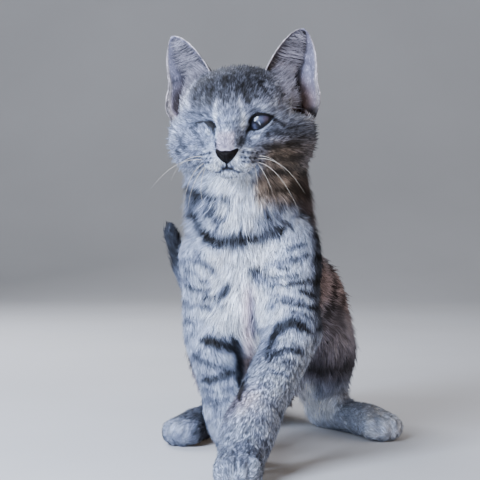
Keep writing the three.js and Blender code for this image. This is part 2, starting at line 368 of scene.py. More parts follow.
def near_paws(points):
    """The paws, which are refined once."""
    spots = [np.linalg.norm(points[:, :2] - place[:2], axis=1) for place, _ in PAWS.values()]
    return (points[:, 2] < 24) & (np.min(spots, axis=0) < 22)


def near_features(points):
    """The eyes, nose and mouth, which are refined twice more."""
    local = to_head(points)
    level = (local[:, 2] > CHIN) & (local[:, 2] < 9)
    return (local[:, 1] < -19) & (np.abs(local[:, 0]) < 25) & level


def node_labels(points):
    """Which node of flesh each point lies nearest to, one column for each node."""
    vertices, faces, owner = [], [], []
    for index, name in enumerate(FLESH):
        if "ear" in name:
            continue
        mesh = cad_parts[name].data
        start = len(vertices)
        vertices += [tuple(vertex.co) for vertex in mesh.vertices]
        for face in mesh.polygons:
            faces.append([start + v for v in face.vertices])
            owner.append(index)
    tree = BVHTree.FromPolygons(vertices, faces)
    nearest = [tree.find_nearest(point)[2] for point in points.tolist()]
    labels = np.zeros((len(points), len(FLESH)))
    labels[np.arange(len(points)), np.array(owner)[nearest]] = 1
    return labels


class Regions:
    """Soft shares of each named region at some points."""

    def __init__(self, labels):
        self.labels = labels

    def of(self, *words):
        columns = [i for i, name in enumerate(FLESH) if any(word in name for word in words)]
        return self.labels[:, columns].sum(axis=1)


# ---- Face: the open eye, the closed lids, the mouth ----

OUTWARD = math.radians(12)  # each eye looks a little outwards
SLANT = math.radians(26)  # the outer corner sits higher
OPENING = {"length": 6.6, "above": 4.5, "below": 2.0, "corners": -1.2, "skew": 0.3}
LID_ROOM = 0.25  # how far the lids stay off the eyeball
FAR_OFF = 9.0  # what the distance to the lids is said to be away from the eye


def eye_axes():
    """Along the open eye's opening, up across it and straight out."""
    out = np.array((math.sin(OUTWARD), -math.cos(OUTWARD), 0.0))
    flat = np.array((math.cos(OUTWARD), math.sin(OUTWARD), 0.0))
    up = np.array((0.0, 0.0, 1.0))
    length = flat * math.cos(SLANT) + up * math.sin(SLANT)
    height = up * math.cos(SLANT) - flat * math.sin(SLANT)
    return length, height, out


EYE_ALONG, EYE_UP, EYE_OUT = eye_axes()


def lid_gap(u, v):
    """Distance outside the almond between the lids, negative inside it."""
    reach = OPENING["length"]
    v = v - OPENING["corners"]
    arch = np.clip(1 - (u / reach) ** 2, 0, 1) ** 0.7 * (1 - OPENING["skew"] * np.clip(u / reach, -1, 1))
    across = np.where(v > 0, v - OPENING["above"] * arch, -v - OPENING["below"] * arch)
    beyond = np.hypot(np.maximum(np.abs(u) - reach, 0), v)
    return np.where(np.abs(u) < reach, across, beyond)


def around_eye(local):
    """Distance from the open eye's middle, the way there, where that meets the ball, and its share ahead."""
    away = local - EYE
    far = np.linalg.norm(away, axis=1)
    aim = away / far[:, None]
    return far, aim, aim @ EYE_ALONG * EYE_RADIUS, aim @ EYE_UP * EYE_RADIUS, aim @ EYE_OUT


def eye_gap(points):
    """Distance outside the open eye's lids in millimetres, and large elsewhere."""
    far, aim, _, _, front = around_eye(to_head(points))
    away = aim * far[:, None]
    gap = lid_gap(away @ EYE_ALONG, away @ EYE_UP)
    return np.where((front > 0.1) & (far < EYE_RADIUS + 6), gap, FAR_OFF)


def open_lids(local):
    """Draws the lids round the eyeball, and opens them over it."""
    far, aim, u, v, front = around_eye(local)
    gap = lid_gap(u, v)
    apart = lid_gap((local - EYE) @ EYE_ALONG, (local - EYE) @ EYE_UP)
    lid = EYE_RADIUS + LID_ROOM + 0.75 * smooth(-0.2, 0.9, gap)
    lid = np.where(gap < 0, EYE_RADIUS - 2.2 * smooth(0, -0.9, gap) + LID_ROOM, lid)
    reach = np.where(front > 0.05, 1 - smooth(0.3, 3.6, apart), 0) * smooth(5.0, 1.5, far - EYE_RADIUS)
    reach = np.where((gap < 0) & (front > 0.3), smooth(6.5, 3.5, far - EYE_RADIUS), reach)
    return EYE + aim * mix(far, lid, reach)[:, None]


BACKWARDS = np.array((0, 1, 0))
# Soft forms of the face: the middle of each, its reach each way, and how far it stands forwards.
FACE_FORMS = (
    ((8.4, -27, -5.5), (3.0, 7, 4.2), -1.0), ((-8.8, -27, -4.5), (3.4, 7, 4.6), -1.7),
    ((7.2, -32, -12), (1.9, 7, 4.6), -1.2), ((-7.4, -32, -12), (1.9, 7, 4.6), -1.2),
    ((8.8, -33, -21.5), (5.0, 7, 4.0), 0.9), ((-8.8, -33, -21.5), (5.0, 7, 4.0), 0.9),
    ((16, -26, 7.5), (8, 8, 3.2), 0.9), ((-16, -26, 6.5), (8, 8, 3.2), 0.6),
    ((0, -34, -10), (4.6, 9, 6.0), 0.7), ((0, -30, 5), (2.6, 9, 8.0), -0.7),
    ((0, -36, -31), (6, 8, 3.2), 0.6), ((19, -24, -9.5), (7, 8, 3.0), -0.6),
)


def face_forms(local):
    """Brows, sockets, bridge and whisker pads."""
    for middle, reach, forward in FACE_FORMS:
        local = local - BACKWARDS * (forward * dome(local, middle, reach))[:, None]
    return local


CLOSED_LINE = np.array([
    (-23.5, -20, -2.5), (-19, -25, -0.8), (-14, -28, -1.2), (-10.5, -28, -2.6), (-8.6, -28, -6.0),
])


def closed_lids(local):
    """The right eye is shut and has sunk: a shallow hollow with the lids' line across it."""
    away, _ = along(local, CLOSED_LINE)
    hollow = dome(local, (-15.5, -28, -1.5), (9, 9, 6.5))
    crease = np.exp(-((away / 1.1) ** 2))
    lid = dome(local, (-15.5, -27, -5.0), (6, 9, 3.2))
    return local + BACKWARDS * (hollow + 1.3 * crease - 0.8 * lid)[:, None]


MOUTH = np.array([(-8.5, -33, -27.6), (-5.5, -36.5, -27.4), (-2.4, -39, -25.6), (0, -39.5, -24.7)])
PHILTRUM = np.array([(0, -40, -21.5), (0, -40, -25)])


def lips(local):
    """The mouth's line, the same on both sides, and the groove above it."""
    mirrored = local.copy()
    mirrored[:, 0] = -np.abs(local[:, 0])
    mouth, _ = along(mirrored, MOUTH)
    groove, _ = along(local, PHILTRUM)
    front = smooth(-24, -30, local[:, 1])
    sink = 1.3 * np.exp(-((mouth / 0.9) ** 2)) + 0.9 * np.exp(-((groove / 0.8) ** 2))
    return local + BACKWARDS * (sink * front)[:, None]


# ---- Coat: how deep, how long and which way it lies ----

TAIL_PATH = np.array([
    (13, 174, 26), (14, 197, 15), (3, 211, 16), (-13, 213, 33),
    (-26, 208, 60), (-37, 200, 90), (-45, 191, 117),
])
LEGS = {
    "foreleg_left": np.array([(24, 60, 138), (28, 28, 112), (29, 10, 70), (5, -30, 26), (0, -51, 4)]),
    "foreleg_right": np.array([(-12, 64, 138), (-16.5, 30, 110), (-17, 40, 70), (-4, 17, 21), (1, 3, 4)]),
}
# Each paw's middle on the floor, and which way its toes point, in degrees from straight ahead.
PAWS = {
    "forepaw_left": (np.array((0, -51, 8)), -8), "forepaw_right": (np.array((1, 3, 8)), -4),
    "hindpaw_left": (np.array((79, 86, 8)), 28), "hindpaw_right": (np.array((-29, 70, 8)), -30),
}
TOE_GAPS = (-6.2, 0.0, 6.2)  # where the skin is drawn in, across each paw
NOSE_TIP = np.array((0.0, -41.0, -17.0))


def path_direction(points, path):
    """Which way the path runs beside each point."""
    _, share = along(points, path)
    runs = np.linalg.norm(np.diff(path, axis=0), axis=1)
    middles = (np.cumsum(runs) - runs / 2) / runs.sum()
    steps = unit(np.diff(path, axis=0))
    return unit(np.stack([np.interp(share, middles, steps[:, k]) for k in range(3)], axis=1))


def head_lie(points):
    """Hair runs from the nose over the face and back down the neck."""
    local = to_head(points)
    from_nose = unit(local - NOSE_TIP)
    back = np.zeros_like(local)
    back[:, 1] = smooth(-10, 30, local[:, 1])
    back[:, 2] = -0.9 * smooth(5, 38, local[:, 1]) - 0.5 * smooth(-8, -28, local[:, 2])
    return unit(from_nose + back) @ HEAD_AXES.T


def trunk_lie(points, normals):
    """Hair runs back and down the flanks, and down and outwards over the chest."""
    back = np.array((0.08, 0.72, -0.62))
    aside = np.clip((points[:, 0] - 3) / 14, -1, 1)
    breast = smooth(70, 84, points[:, 2]) * smooth(122, 112, points[:, 2])
    sweep = normals[:, 0] * 0.35 + aside * (0.35 + 1.3 * breast)
    chest = np.stack((sweep, 0.02 + 0 * sweep, -1 + 0.3 * breast * np.abs(aside)), axis=1)
    front = smooth(0.1, 0.7, -normals[:, 1]) * smooth(90, 60, points[:, 1])
    return unit(mix(back, chest, front[:, None]))


def ear_side(points):
    """1 on the left ear's side of the head, -1 on the right one's."""
    return np.where(to_head(points)[:, 0] > 0, 1.0, -1.0)


EAR = {
    "height": 43.2, "leaf": 0.97, "width": 34.0, "thickness": 1.9,
    "reach left": 1.4, "reach right": 4.0, "lobe left": 3.4, "lobe right": 6.4,
}
EAR_TURN = 0.56  # how far each opening turns outwards, in radians
EAR_TILT = 0.12  # how much it looks up


def ear_axes(side):
    """Each ear's root, and the ways up it, out across it and out of its opening, from the head."""
    one = np.ones(len(side))
    root = np.stack((side * 24.2, 6 * one, 9 * one), axis=1)
    lean = unit(np.stack((side * 11 - 1.2, 5 * one, EAR["height"] * one), axis=1))
    opening = np.stack((side * math.sin(EAR_TURN), -math.cos(EAR_TURN) * one, EAR_TILT * one), axis=1)
    opening = unit(opening)
    outer = unit(np.cross(lean, opening) * side[:, None])
    return root, lean, outer, opening


def ear_frame(points):
    """Height above the ear's root, distance out across it and how far in front of it, with its axes."""
    root, *axes = ear_axes(ear_side(points))
    away = to_head(points) - root
    measure = [np.sum(away * axis, axis=1) for axis in axes]
    return measure, [axis @ HEAD_AXES.T for axis in axes]


def ear_outline(height, side):
    """The ear's width inwards and outwards of its middle, and how far that moves out, by share of height."""
    top = np.clip(height, 0, 1)
    inner = np.maximum(EAR["width"] / 2 * (1 - top ** 1.7) ** 0.54 - 0.5, 0.25)
    inner = inner * np.sqrt(1 - (np.clip(height, -0.3, 0) / 0.34) ** 2)
    lobe = np.where(side > 0, EAR["lobe left"], EAR["lobe right"])
    lobe = lobe * smooth(0.44, 0.08, height) * smooth(-0.30, -0.04, height)
    reach = np.where(side > 0, EAR["reach left"], EAR["reach right"])
    return inner, inner + lobe, reach * top ** 3


def ear_middle(across, height):
    """Where the middle of the cupped leaf lies, forwards along its opening."""
    share = np.clip(height, 0, 1)
    cup = 13 * (1 - share) ** 0.8
    wrap = mix(1.75, 1.1, share)
    angle = np.arcsin(np.clip(across * np.sin(np.minimum(wrap, np.pi / 2)), -1, 1))
    curl = 1.6 * smooth(0.55, 1.0, across) * smooth(0.1, 0.35, share) * smooth(0.95, 0.6, share)
    lobe = 3.0 * bump(across, 0.86, 0.22) * bump(share, 0.13, 0.14)
    return -cup * (np.cos(angle) - np.cos(wrap)) + curl + lobe


def ear_place(side, across, height, forward=0.0):
    """A point of the ear by its share across, -1 to 1, share of height and distance in front."""
    inner, outer_half, moved = ear_outline(height, side)
    half = np.where(across > 0, outer_half, inner)
    root, lean, outer, opening = ear_axes(np.array([float(side)]))
    upwards = lean * (height * EAR["height"] * EAR["leaf"])[:, None]
    outwards = outer * (moved + across * half)[:, None]
    forwards = opening * (ear_middle(across, height) + forward)[:, None]
    return from_head(root + upwards + outwards + forwards)


def ear_shell(side, rows=52, around=84):
    """A thin closed leaf for one ear, its foot inside the head."""
    turn = np.arange(around) / around * 2 * np.pi
    across = np.cos(turn)
    height = 1 - 1.26 * (1 - np.linspace(0, 1, rows)) ** 1.4
    height[-1] = 0.998
    across, height = (grid.ravel() for grid in np.meshgrid(across, height))
    through = np.sin(np.tile(turn, rows))
    thick = EAR["thickness"] * mix(1.0, 0.55, height) * np.abs(through) ** 0.7
    points = ear_place(side, across, height, np.sign(through) * thick / 2)
    foot = points[:around].mean(axis=0)
    tip = points[-around:].mean(axis=0)
    here, beside, above, above_beside = bands(rows, around)
    fields = np.stack((here, beside, above_beside, here, above_beside, above), axis=1)
    foot_at = np.full(around, len(points))
    step = np.arange(around)
    after = (step + 1) % around
    last = len(points) - around
    ends = np.stack((foot_at, after, step, foot_at + 1, last + step, last + after), axis=1)
    faces = np.concatenate((fields, ends)).reshape(-1, 3)
    return np.concatenate((points, (foot, tip))), faces[:, ::-1] if side > 0 else faces


def ear_measures(points, normals):
    """Side, share across, share of height and how much each point of an ear faces its opening."""
    side = ear_side(points)
    (height, outward, _), (_, _, opening) = ear_frame(points)
    share = height / (EAR["height"] * EAR["leaf"])
    inner, outer, moved = ear_outline(np.minimum(share, 0.99), side)
    across = (outward - moved) / np.where(outward > moved, outer, inner)
    return side, np.clip(across, -1.1, 1.1), share, np.sum(normals * opening, axis=1)


def ear_hollows(points):
    """Opens the head's side in front of each ear's foot, where the ear's cup runs down into it."""
    _, across, share, _ = ear_measures(points, points)
    (_, _, ahead), (_, _, opening) = ear_frame(points)
    wanted = smooth(-0.32, 0.08, across) * smooth(0.80, 0.58, across)
    wanted = wanted * smooth(-0.2, -0.04, share) * smooth(0.75, 0.6, share)
    depth = np.clip(ahead - ear_middle(across, share) - 0.8, 0, 10) * wanted
    return points - opening * depth[:, None], smooth(1.0, 4.0, depth)


def toe_creases(points, normals):
    """Draws the skin in between the toes."""
    for place, toes in PAWS.values():
        angle = math.radians(toes)
        ahead = (points - place) @ np.array((math.sin(angle), -math.cos(angle), 0))
        aside = (points - place) @ np.array((math.cos(angle), math.sin(angle), 0))
        within = smooth(26, 20, np.abs(ahead) + np.abs(aside) * 0.5)
        low = smooth(26, 16, points[:, 2]) * smooth(1, 7, ahead) * within
        for crease in TOE_GAPS:
            path = crease * (1 + 0.012 * (ahead - 8))
            points = points - normals * (1.15 * low * bump(aside, path, 0.95))[:, None]
    return points


def coat_lie(points, normals, regions):
    """The way the hair runs at each point, along the skin."""
    lie = regions.of("head")[:, None] * head_lie(points)
    fan = 0.5 * smooth(0.3, -0.4, normals[:, 1]) * np.clip((points[:, 0] - 3) / 16, -1.4, 1.4)
    throat = np.stack((fan, 0.2 + 0.3 * normals[:, 1], -np.ones(len(points))), axis=1)
    lie += regions.of("neck")[:, None] * unit(throat)
    lie += regions.of("trunk")[:, None] * trunk_lie(points, normals)
    lie += regions.of("tail")[:, None] * path_direction(points, TAIL_PATH)
    for name, path in LEGS.items():
        lie += regions.of(name)[:, None] * path_direction(points, path)
    for name, (_, toes) in PAWS.items():
        ahead = np.array((math.sin(math.radians(toes)), -math.cos(math.radians(toes)), -0.2))
        lie += regions.of(name)[:, None] * unit(ahead)
    lie += regions.of("haunch")[:, None] * unit(np.array((0.0, 0.35, -1.0)))
    lie += regions.of("ear")[:, None] * ear_frame(points)[1][0]
    return flatten(lie, normals)


# The tufts of each region: length, depth and width in millimetres, and number to the square millimetre.
TUFTS = {
    "head": (4.6, 1.9, 0.38, 3.6), "neck": (9.0, 4.5, 0.52, 2.5), "trunk": (9.0, 4.2, 0.56, 1.45),
    "tail": (8.5, 3.0, 0.5, 2.2), "ear": (2.6, 0.35, 0.34, 2.2), "foreleg": (6.0, 2.3, 0.42, 2.55),
    "forepaw": (4.0, 1.1, 0.38, 3.0), "haunch": (8.5, 3.8, 0.52, 1.8), "hindpaw": (4.2, 1.3, 0.4, 2.6),
}
# What some parts of the regions add to that.
TUFT_CHANGES = {
    "face": (-1.3, -0.7, -0.06, 1.5), "muzzle": (-1.6, -0.5, -0.06, 0.6), "cheeks": (2.2, 1.0, 0.04, -0.7),
    "low foreleg": (-2.5, -0.8, -0.06, 0.35), "chest": (0.4, 1.0, -0.02, 1.4),
}
LEAST_TUFT = (1.0, 0.2, 0.22, 0.0)


def coat_table(points, normals, regions):
    """The tufts' length, depth, width and number, as in the table above, at each point of the skin."""
    local = to_head(points)
    head = regions.of("head")
    parts = {
        "face": head * smooth(-6, -20, local[:, 1]),
        "muzzle": head * (smooth(-22, -31, local[:, 1]) * smooth(-2, -8, local[:, 2])),
        "cheeks": head * (smooth(20, 34, np.abs(local[:, 0])) * smooth(8, -8, local[:, 2])),
        "low foreleg": regions.of("foreleg") * smooth(80, 35, points[:, 2]),
        "chest": regions.of("trunk") * smooth(75, 50, points[:, 1]),
    }
    result = sum(regions.of(name)[:, None] * np.array(row) for name, row in TUFTS.items())
    for name, share in parts.items():
        result += share[:, None] * np.array(TUFT_CHANGES[name])
    lidded = smooth(1.6, 0.7, eye_gap(points))
    result[:, 3] *= 1 - lidded
    _, across, share, facing = ear_measures(points, normals)
    inside = regions.of("ear") * smooth(0.1, 0.4, facing) * smooth(0.97, 0.85, np.abs(across))
    result[:, 3] *= 1 - 0.75 * inside
    rim = smooth(0.8, 1.0, np.abs(across))
    result[:, 0] += regions.of("ear") * (1.6 * smooth(0.3, -0.2, facing) - 0.6 * rim)
    result[:, 0] *= 1 - 0.6 * regions.of("ear") * smooth(0.85, 0.97, share)
    nose = np.linalg.norm((local - NOSE_TIP) / (6.8, 8, 4.6), axis=1)
    result[:, 3] *= smooth(0.8, 1.0, nose)
    return np.maximum(result, LEAST_TUFT)


# ---- Markings, the same for the skin and the coat ----

# From the palest hair to the darkest, and where each stands on the scale of tone.
TONES = ((0.0, "EEF3FB"), (0.25, "BBC5D8"), (0.5, "8089A0"), (0.75, "434957"), (1.0, "17181D"))
# Colours that are laid over those greys here and there.
TINTS = {"brown": "6B5040", "cream": "E4D6C6", "pink": "C39A9E", "lilac": "A59DB4", "sand": "A38E78"}

WRIST = (2, -30, 36)  # the left wrist, which is a little pink

# Each stroke: change of tone, half width, and the places it runs through, seen from in front. Most are
# markings; those noted where they stand are painted shade.
# On the face the places are in the head's own millimetres, across and up.
FACE_STROKES = (
    # forehead: dark lines with pale ones between them
    (0.10, 1.7, (-3.4, 27), (-3.2, 18), (-2.4, 10)),
    (0.08, 1.1, (0.6, 26), (0.4, 18), (0.2, 11)),
    (0.12, 1.2, (-1.6, 11), (-1.2, 3)),
    (0.26, 1.4, (-9.6, 18), (-10.4, 12), (-9.6, 5)),
    (0.14, 1.1, (-15.0, 16), (-16.2, 11), (-16.6, 5)),
    (0.14, 1.0, (-19, 15), (-20.5, 8)),
    (0.26, 1.2, (7.0, 19), (8.4, 14), (10.6, 8)),
    (0.24, 1.2, (10.2, 13), (11.4, 8.6)),
    (0.10, 1.0, (11.0, 20), (12.5, 15), (14, 10.5)),
    (0.18, 1.2, (14.5, 21), (18, 15), (23, 9.5)),
    (-0.34, 1.2, (-6.4, 12), (-7.4, 7), (-7.4, 1), (-6.8, -6), (-6.2, -11)),
    (-0.34, 1.5, (5.6, 12), (6.8, 6), (7.8, 0), (7.4, -5)),
    (-0.14, 1.2, (12, 6.4), (16, 7.0), (19, 5.8)),
    # round the open eye
    # Dark fur and painted shade at the open eye's inner corner and down beside the bridge.
    (0.55, 0.8, (10.2, 0.5), (9.8, -3.5), (8.6, -7.2)),
    (0.20, 1.0, (9.2, -7), (8.2, -10.5), (7.0, -14.5)),
    (0.45, 1.0, (20.8, 1.2), (24.3, -0.6), (28, -3.4)),
    (-0.26, 1.2, (11.5, -9.4), (14.5, -8.6), (19.0, -6.0)),
    (0.12, 1.4, (19, -7.8), (25, -7), (30, -8.5)),
    # round the closed eye
    (0.22, 1.6, (-22.5, -5.0), (-20.5, -2.2), (-17.5, -0.9)),
    (0.56, 0.8, (-19.0, -0.9), (-16.5, -0.3), (-13.0, -0.4), (-9.5, -1.2)),
    (1.10, 1.6, (-13.0, -1.2), (-10.2, -1.9), (-7.4, -3.2)),
    (0.36, 1.3, (-9.4, -3.2), (-8.6, -5.4), (-8.0, -7.4)),
    (-0.36, 1.7, (-13.4, -5.0), (-11.6, -7.2)),
    (0.16, 2.2, (-26.5, -7), (-26.5, -11), (-24, -14.5)),
    (0.20, 2.2, (-19.5, -5.5), (-18, -9.5), (-14.5, -13)),
    (0.12, 1.5, (-29, -5), (-30, -13)),
    # cheeks
    (0.26, 1.6, (15, -13.8), (23, -15), (31, -13.5), (36, -9)),
    (-0.14, 1.4, (20, -11.2), (27, -10.6), (34, -11)),
    (0.26, 1.9, (19, -20.5), (27.5, -21.5), (36, -19)),
    (0.22, 1.8, (16, -29), (25, -28), (35, -25)),
    (0.30, 4.0, (13, -30), (19, -31), (26, -29)),
    (0.22, 1.3, (-34, -14), (-28, -19), (-21, -19.6)),
    (0.06, 1.4, (-33, -22), (-27, -23.5), (-19, -22.5)),
    (0.16, 1.6, (-33, -4), (-29, -9), (-26, -14)),
    # nose bridge and lips
    # Painted shadow under the nose, over the lip.
    (0.30, 1.8, (-3.4, -24.4), (0, -25.0), (3.4, -24.4)),
    # Dark fur and painted shade down both sides of the bridge.
    (0.26, 0.8, (7.2, -9), (6.8, -12), (6.0, -14.8)),
    (0.40, 0.8, (-6.4, -9), (-6.2, -14)),
    (0.70, 0.5, (-0.1, -21.5), (-0.1, -24.7)),
    (
        0.50, 0.75,
        (-7.2, -27.3), (-4.6, -27.2), (-2.2, -25.6), (-0.1, -24.8), (2.2, -25.6), (5, -27.2), (8, -27.6),
    ),
)
# Rows of dark spots where the whiskers stand: height, and how far out the first of four is.
WHISKER_SPOTS = ((-17.0, 9.0), (-19.7, 8.2), (-22.2, 9.4))
# On the chest and shoulders they are across from the middle and up from the floor.
CHEST_STROKES = (
    # upper necklace
    (0.72, 2.2, (-27, 146), (-19, 144), (-10, 141.6), (-4, 139)),
    (0.20, 4.0, (-31, 146), (-27, 138), (-26, 130)),
    (0.34, 2.2, (-26, 143), (-21, 139)),
    (0.72, 2.2, (8, 142.6), (16, 144.8), (25, 147.5), (34, 151)),
    (0.44, 3.0, (15, 140), (24, 138.5), (31, 140.5)),
    (0.34, 1.6, (-18, 139.5), (-14, 134), (-9.7, 130)),
    # lower necklace
    (0.50, 3.0, (-25, 131), (-22, 126), (-18, 121.6)),
    (0.40, 1.4, (-17, 140), (-12, 133), (-9, 129)),
    (0.36, 1.4, (-20, 134), (-14, 129), (-10, 125)),
    (0.30, 1.4, (8, 129), (14, 133)),
    (0.50, 5.0, (7, 152), (13, 152), (19, 150)),
    (0.92, 4.2, (-21, 124), (-17, 121), (-11, 119.2), (-1, 119.6), (7, 120)),
    (0.74, 3.8, (2, 121.2), (10, 121.4), (17, 122.8), (23, 125.4)),
    (0.34, 4.4, (9, 128), (16, 130), (22, 135)),
    (0.24, 1.6, (21, 123), (26, 127), (31, 134)),
    (0.20, 3.2, (20, 133), (24, 127)),
    (0.24, 2.0, (-20, 138), (-15, 131), (-13, 126)),
    (0.34, 0.9, (-9, 129), (-5.4, 137)),
    (0.28, 0.9, (0, 122), (1, 132)),
    (0.50, 1.2, (12, 139), (15, 132.7), (17.5, 129)),
    (0.40, 1.1, (19, 128), (24, 122)),
    (0.55, 1.2, (22.5, 130), (29, 125)),
    # breast
    (0.72, 3.0, (5.0, 100.6), (8, 102.8), (11, 104.4)),
    (0.65, 1.0, (7.8, 102.5), (12, 103), (15, 103.8)),
    (0.44, 2.6, (7.7, 96.5), (11, 97.7), (14.5, 100)),
    (0.61, 1.0, (14, 99.7), (21.6, 100.6), (33, 101.3)),
    (0.41, 1.3, (10.8, 105), (19, 107.8), (33, 108.5)),
    (0.64, 1.0, (20, 105.6), (27, 104.5)),
    (0.74, 2.6, (-13, 88), (-9.7, 90), (-7, 93.8), (-6, 97.5)),
    (0.72, 1.6, (-21, 87), (-13.5, 89.4)),
    (0.36, 1.3, (-27, 110), (-19, 106), (-12, 100)),
    (0.36, 1.3, (-30, 103), (-22, 101)),
    (0.52, 1.3, (-30, 94), (-22, 92), (-15, 92.5)),
    (0.43, 1.4, (-30, 82), (-22, 83.6), (-14, 80)),
    (0.49, 1.1, (14, 95), (22, 96.5)),
    (0.44, 1.0, (17, 90.6), (24, 90), (34, 88)),
    (0.43, 1.5, (-22, 97.5), (-14.6, 96.4)),
    (0.26, 1.7, (-26, 115), (-20, 109), (-13.5, 103.5)),
    (0.35, 1.4, (-20, 82), (-12, 84.5), (-7.6, 81)),
    (0.24, 1.8, (-28, 73.5), (-19, 75.5)),
    (-0.40, 3.0, (-4, 96), (-1.5, 80), (0.5, 64)),
    (-0.30, 3.2, (11, 92), (12, 84), (13, 76)),
    # Painted shade in the groove down the breastbone.
    (0.46, 2.2, (5.6, 92), (6.2, 80), (7.4, 66)),
    # left shoulder
    (0.42, 1.4, (25, 114.5), (36, 118)),
    (0.40, 1.3, (26, 110), (38, 112)),
    (0.72, 1.4, (21.5, 95.8), (28, 97.5), (39, 98)),
    (0.80, 1.4, (31, 93.8), (36, 92), (41, 89.5)),
    (0.62, 1.4, (19.5, 88), (27, 86.8), (35, 85.6), (41, 82.8)),
    (0.46, 1.3, (25, 83), (33, 81.6), (40, 77)),
    # left foreleg
    (0.36, 2.2, (14, 59.7), (17, 66.6), (19, 71.4)),
    (0.76, 3.4, (17, 70), (21.2, 74.8), (25.5, 76.9), (29.7, 76.6), (33.4, 74.6), (36.5, 72.4)),
    (0.20, 0.8, (22.3, 65.8), (26.5, 67.4), (30.2, 65.8), (34, 61)),
    (0.46, 1.7, (15.2, 58.4), (18.6, 61.8), (21.7, 63.4), (25.5, 63.8), (29.7, 63.0), (33, 61.4)),
    (0.36, 1.0, (22.0, 58.0), (27.6, 57.8), (33, 54.6)),
    (0.22, 1.2, (10.7, 50.8), (15.9, 53.9), (21.4, 52.8), (29, 49.5)),
    (0.20, 1.2, (7.5, 45), (11.7, 47.5), (16, 45.5)),
    (-0.22, 3.6, (-1, 35), (5, 40), (9, 44)),
    # right foreleg, the one that bears the weight
    (0.76, 3.2, (-21, 64.6), (-15, 64.2), (-9, 62.8), (-3, 59)),
    # Painted shade in the gap between the forelegs, along this leg's inner edge.
    (0.72, 2.8, (-5, 67), (-2.4, 62), (-0.8, 55), (-0.2, 48), (-0.2, 41)),
    (0.12, 3.0, (-10, 38.4), (-4, 38.6), (1, 40)),
    (0.26, 2.6, (-15, 50.6), (-8, 50), (-4, 49)),
    (0.30, 2.2, (-25, 56.4), (-21.6, 53.6), (-14, 52.1)),
    (0.48, 2.4, (-20.5, 42.6), (-14, 44.3), (-8.7, 46.1), (-3, 47.6)),
    (0.22, 1.3, (-20.5, 38.5), (-13.5, 38)),
    (0.26, 2.0, (-15.5, 30.2), (-10.8, 32), (-6, 35)),
)
# Rings round the tail: share of the way along, half width of the ring in millimetres, change of tone.
TAIL_RINGS = (
    (0.12, 4, 0.4), (0.26, 4, 0.4), (0.40, 4, 0.4), (0.54, 4.5, 0.45), (0.68, 4.5, 0.5), (0.93, 16, 0.40),
)
# The stripes over the back and down the forelegs: millimetres from one to the next.
BACK_STRIPE = 15.5
LEG_STRIPE = 12.5
# The haunches' tone at some heights above the floor.
HAUNCH_TONES = (
    (0, 18, 24, 34, 39, 46, 52, 60, 71, 79, 86),
    (0.30, 0.36, 0.48, 0.66, 0.92, 0.64, 0.46, 0.46, 0.62, 1.04, 1.04),
)
# The tips of the hind toes on the floor, how far from there they stay pale, and by where they are grey,
# with the toes' tone and how much the grey adds.
HIND_TOES = {
    "hindpaw_left": ((88, 70), (8, 30), 0.18, 0.10),
    "hindpaw_right": ((-38, 56), (8, 15), 0.42, 0.36),
}
# Half the nose leather's width at some heights, from its foot to its top.
NOSE_WIDTHS = ((-23.0, -22.6, -20.6, -18.7, -17.0, -16.2, -15.7), (-1.0, 0.4, 2.9, 4.7, 5.5, 5.3, -1.0))
SPINE = np.array([(14, 180, 30), (16, 166, 66), (14, 128, 106), (12, 96, 130), (8, 72, 156), (1, 52, 186)])


def stroke_share(places, way, width):
    """How strongly a stroke covers each place: full along its middle, thinner to its ends."""
    away, share = along(places, way)
    taper = np.clip(np.sin(np.pi * np.clip(share, 0.06, 0.94)) * 2.2, 0.35, 1)
    return np.exp(-((away / (width * taper)) ** 2) ** 1.4)


def stroked(tone, places, strokes, cover, gain=1.0):
    """Lays the strokes over the tone, as strongly as the cover says at each place."""
    for change, width, *way in strokes:
        tone = tone + gain * change * cover * stroke_share(places, way, width)
    return tone


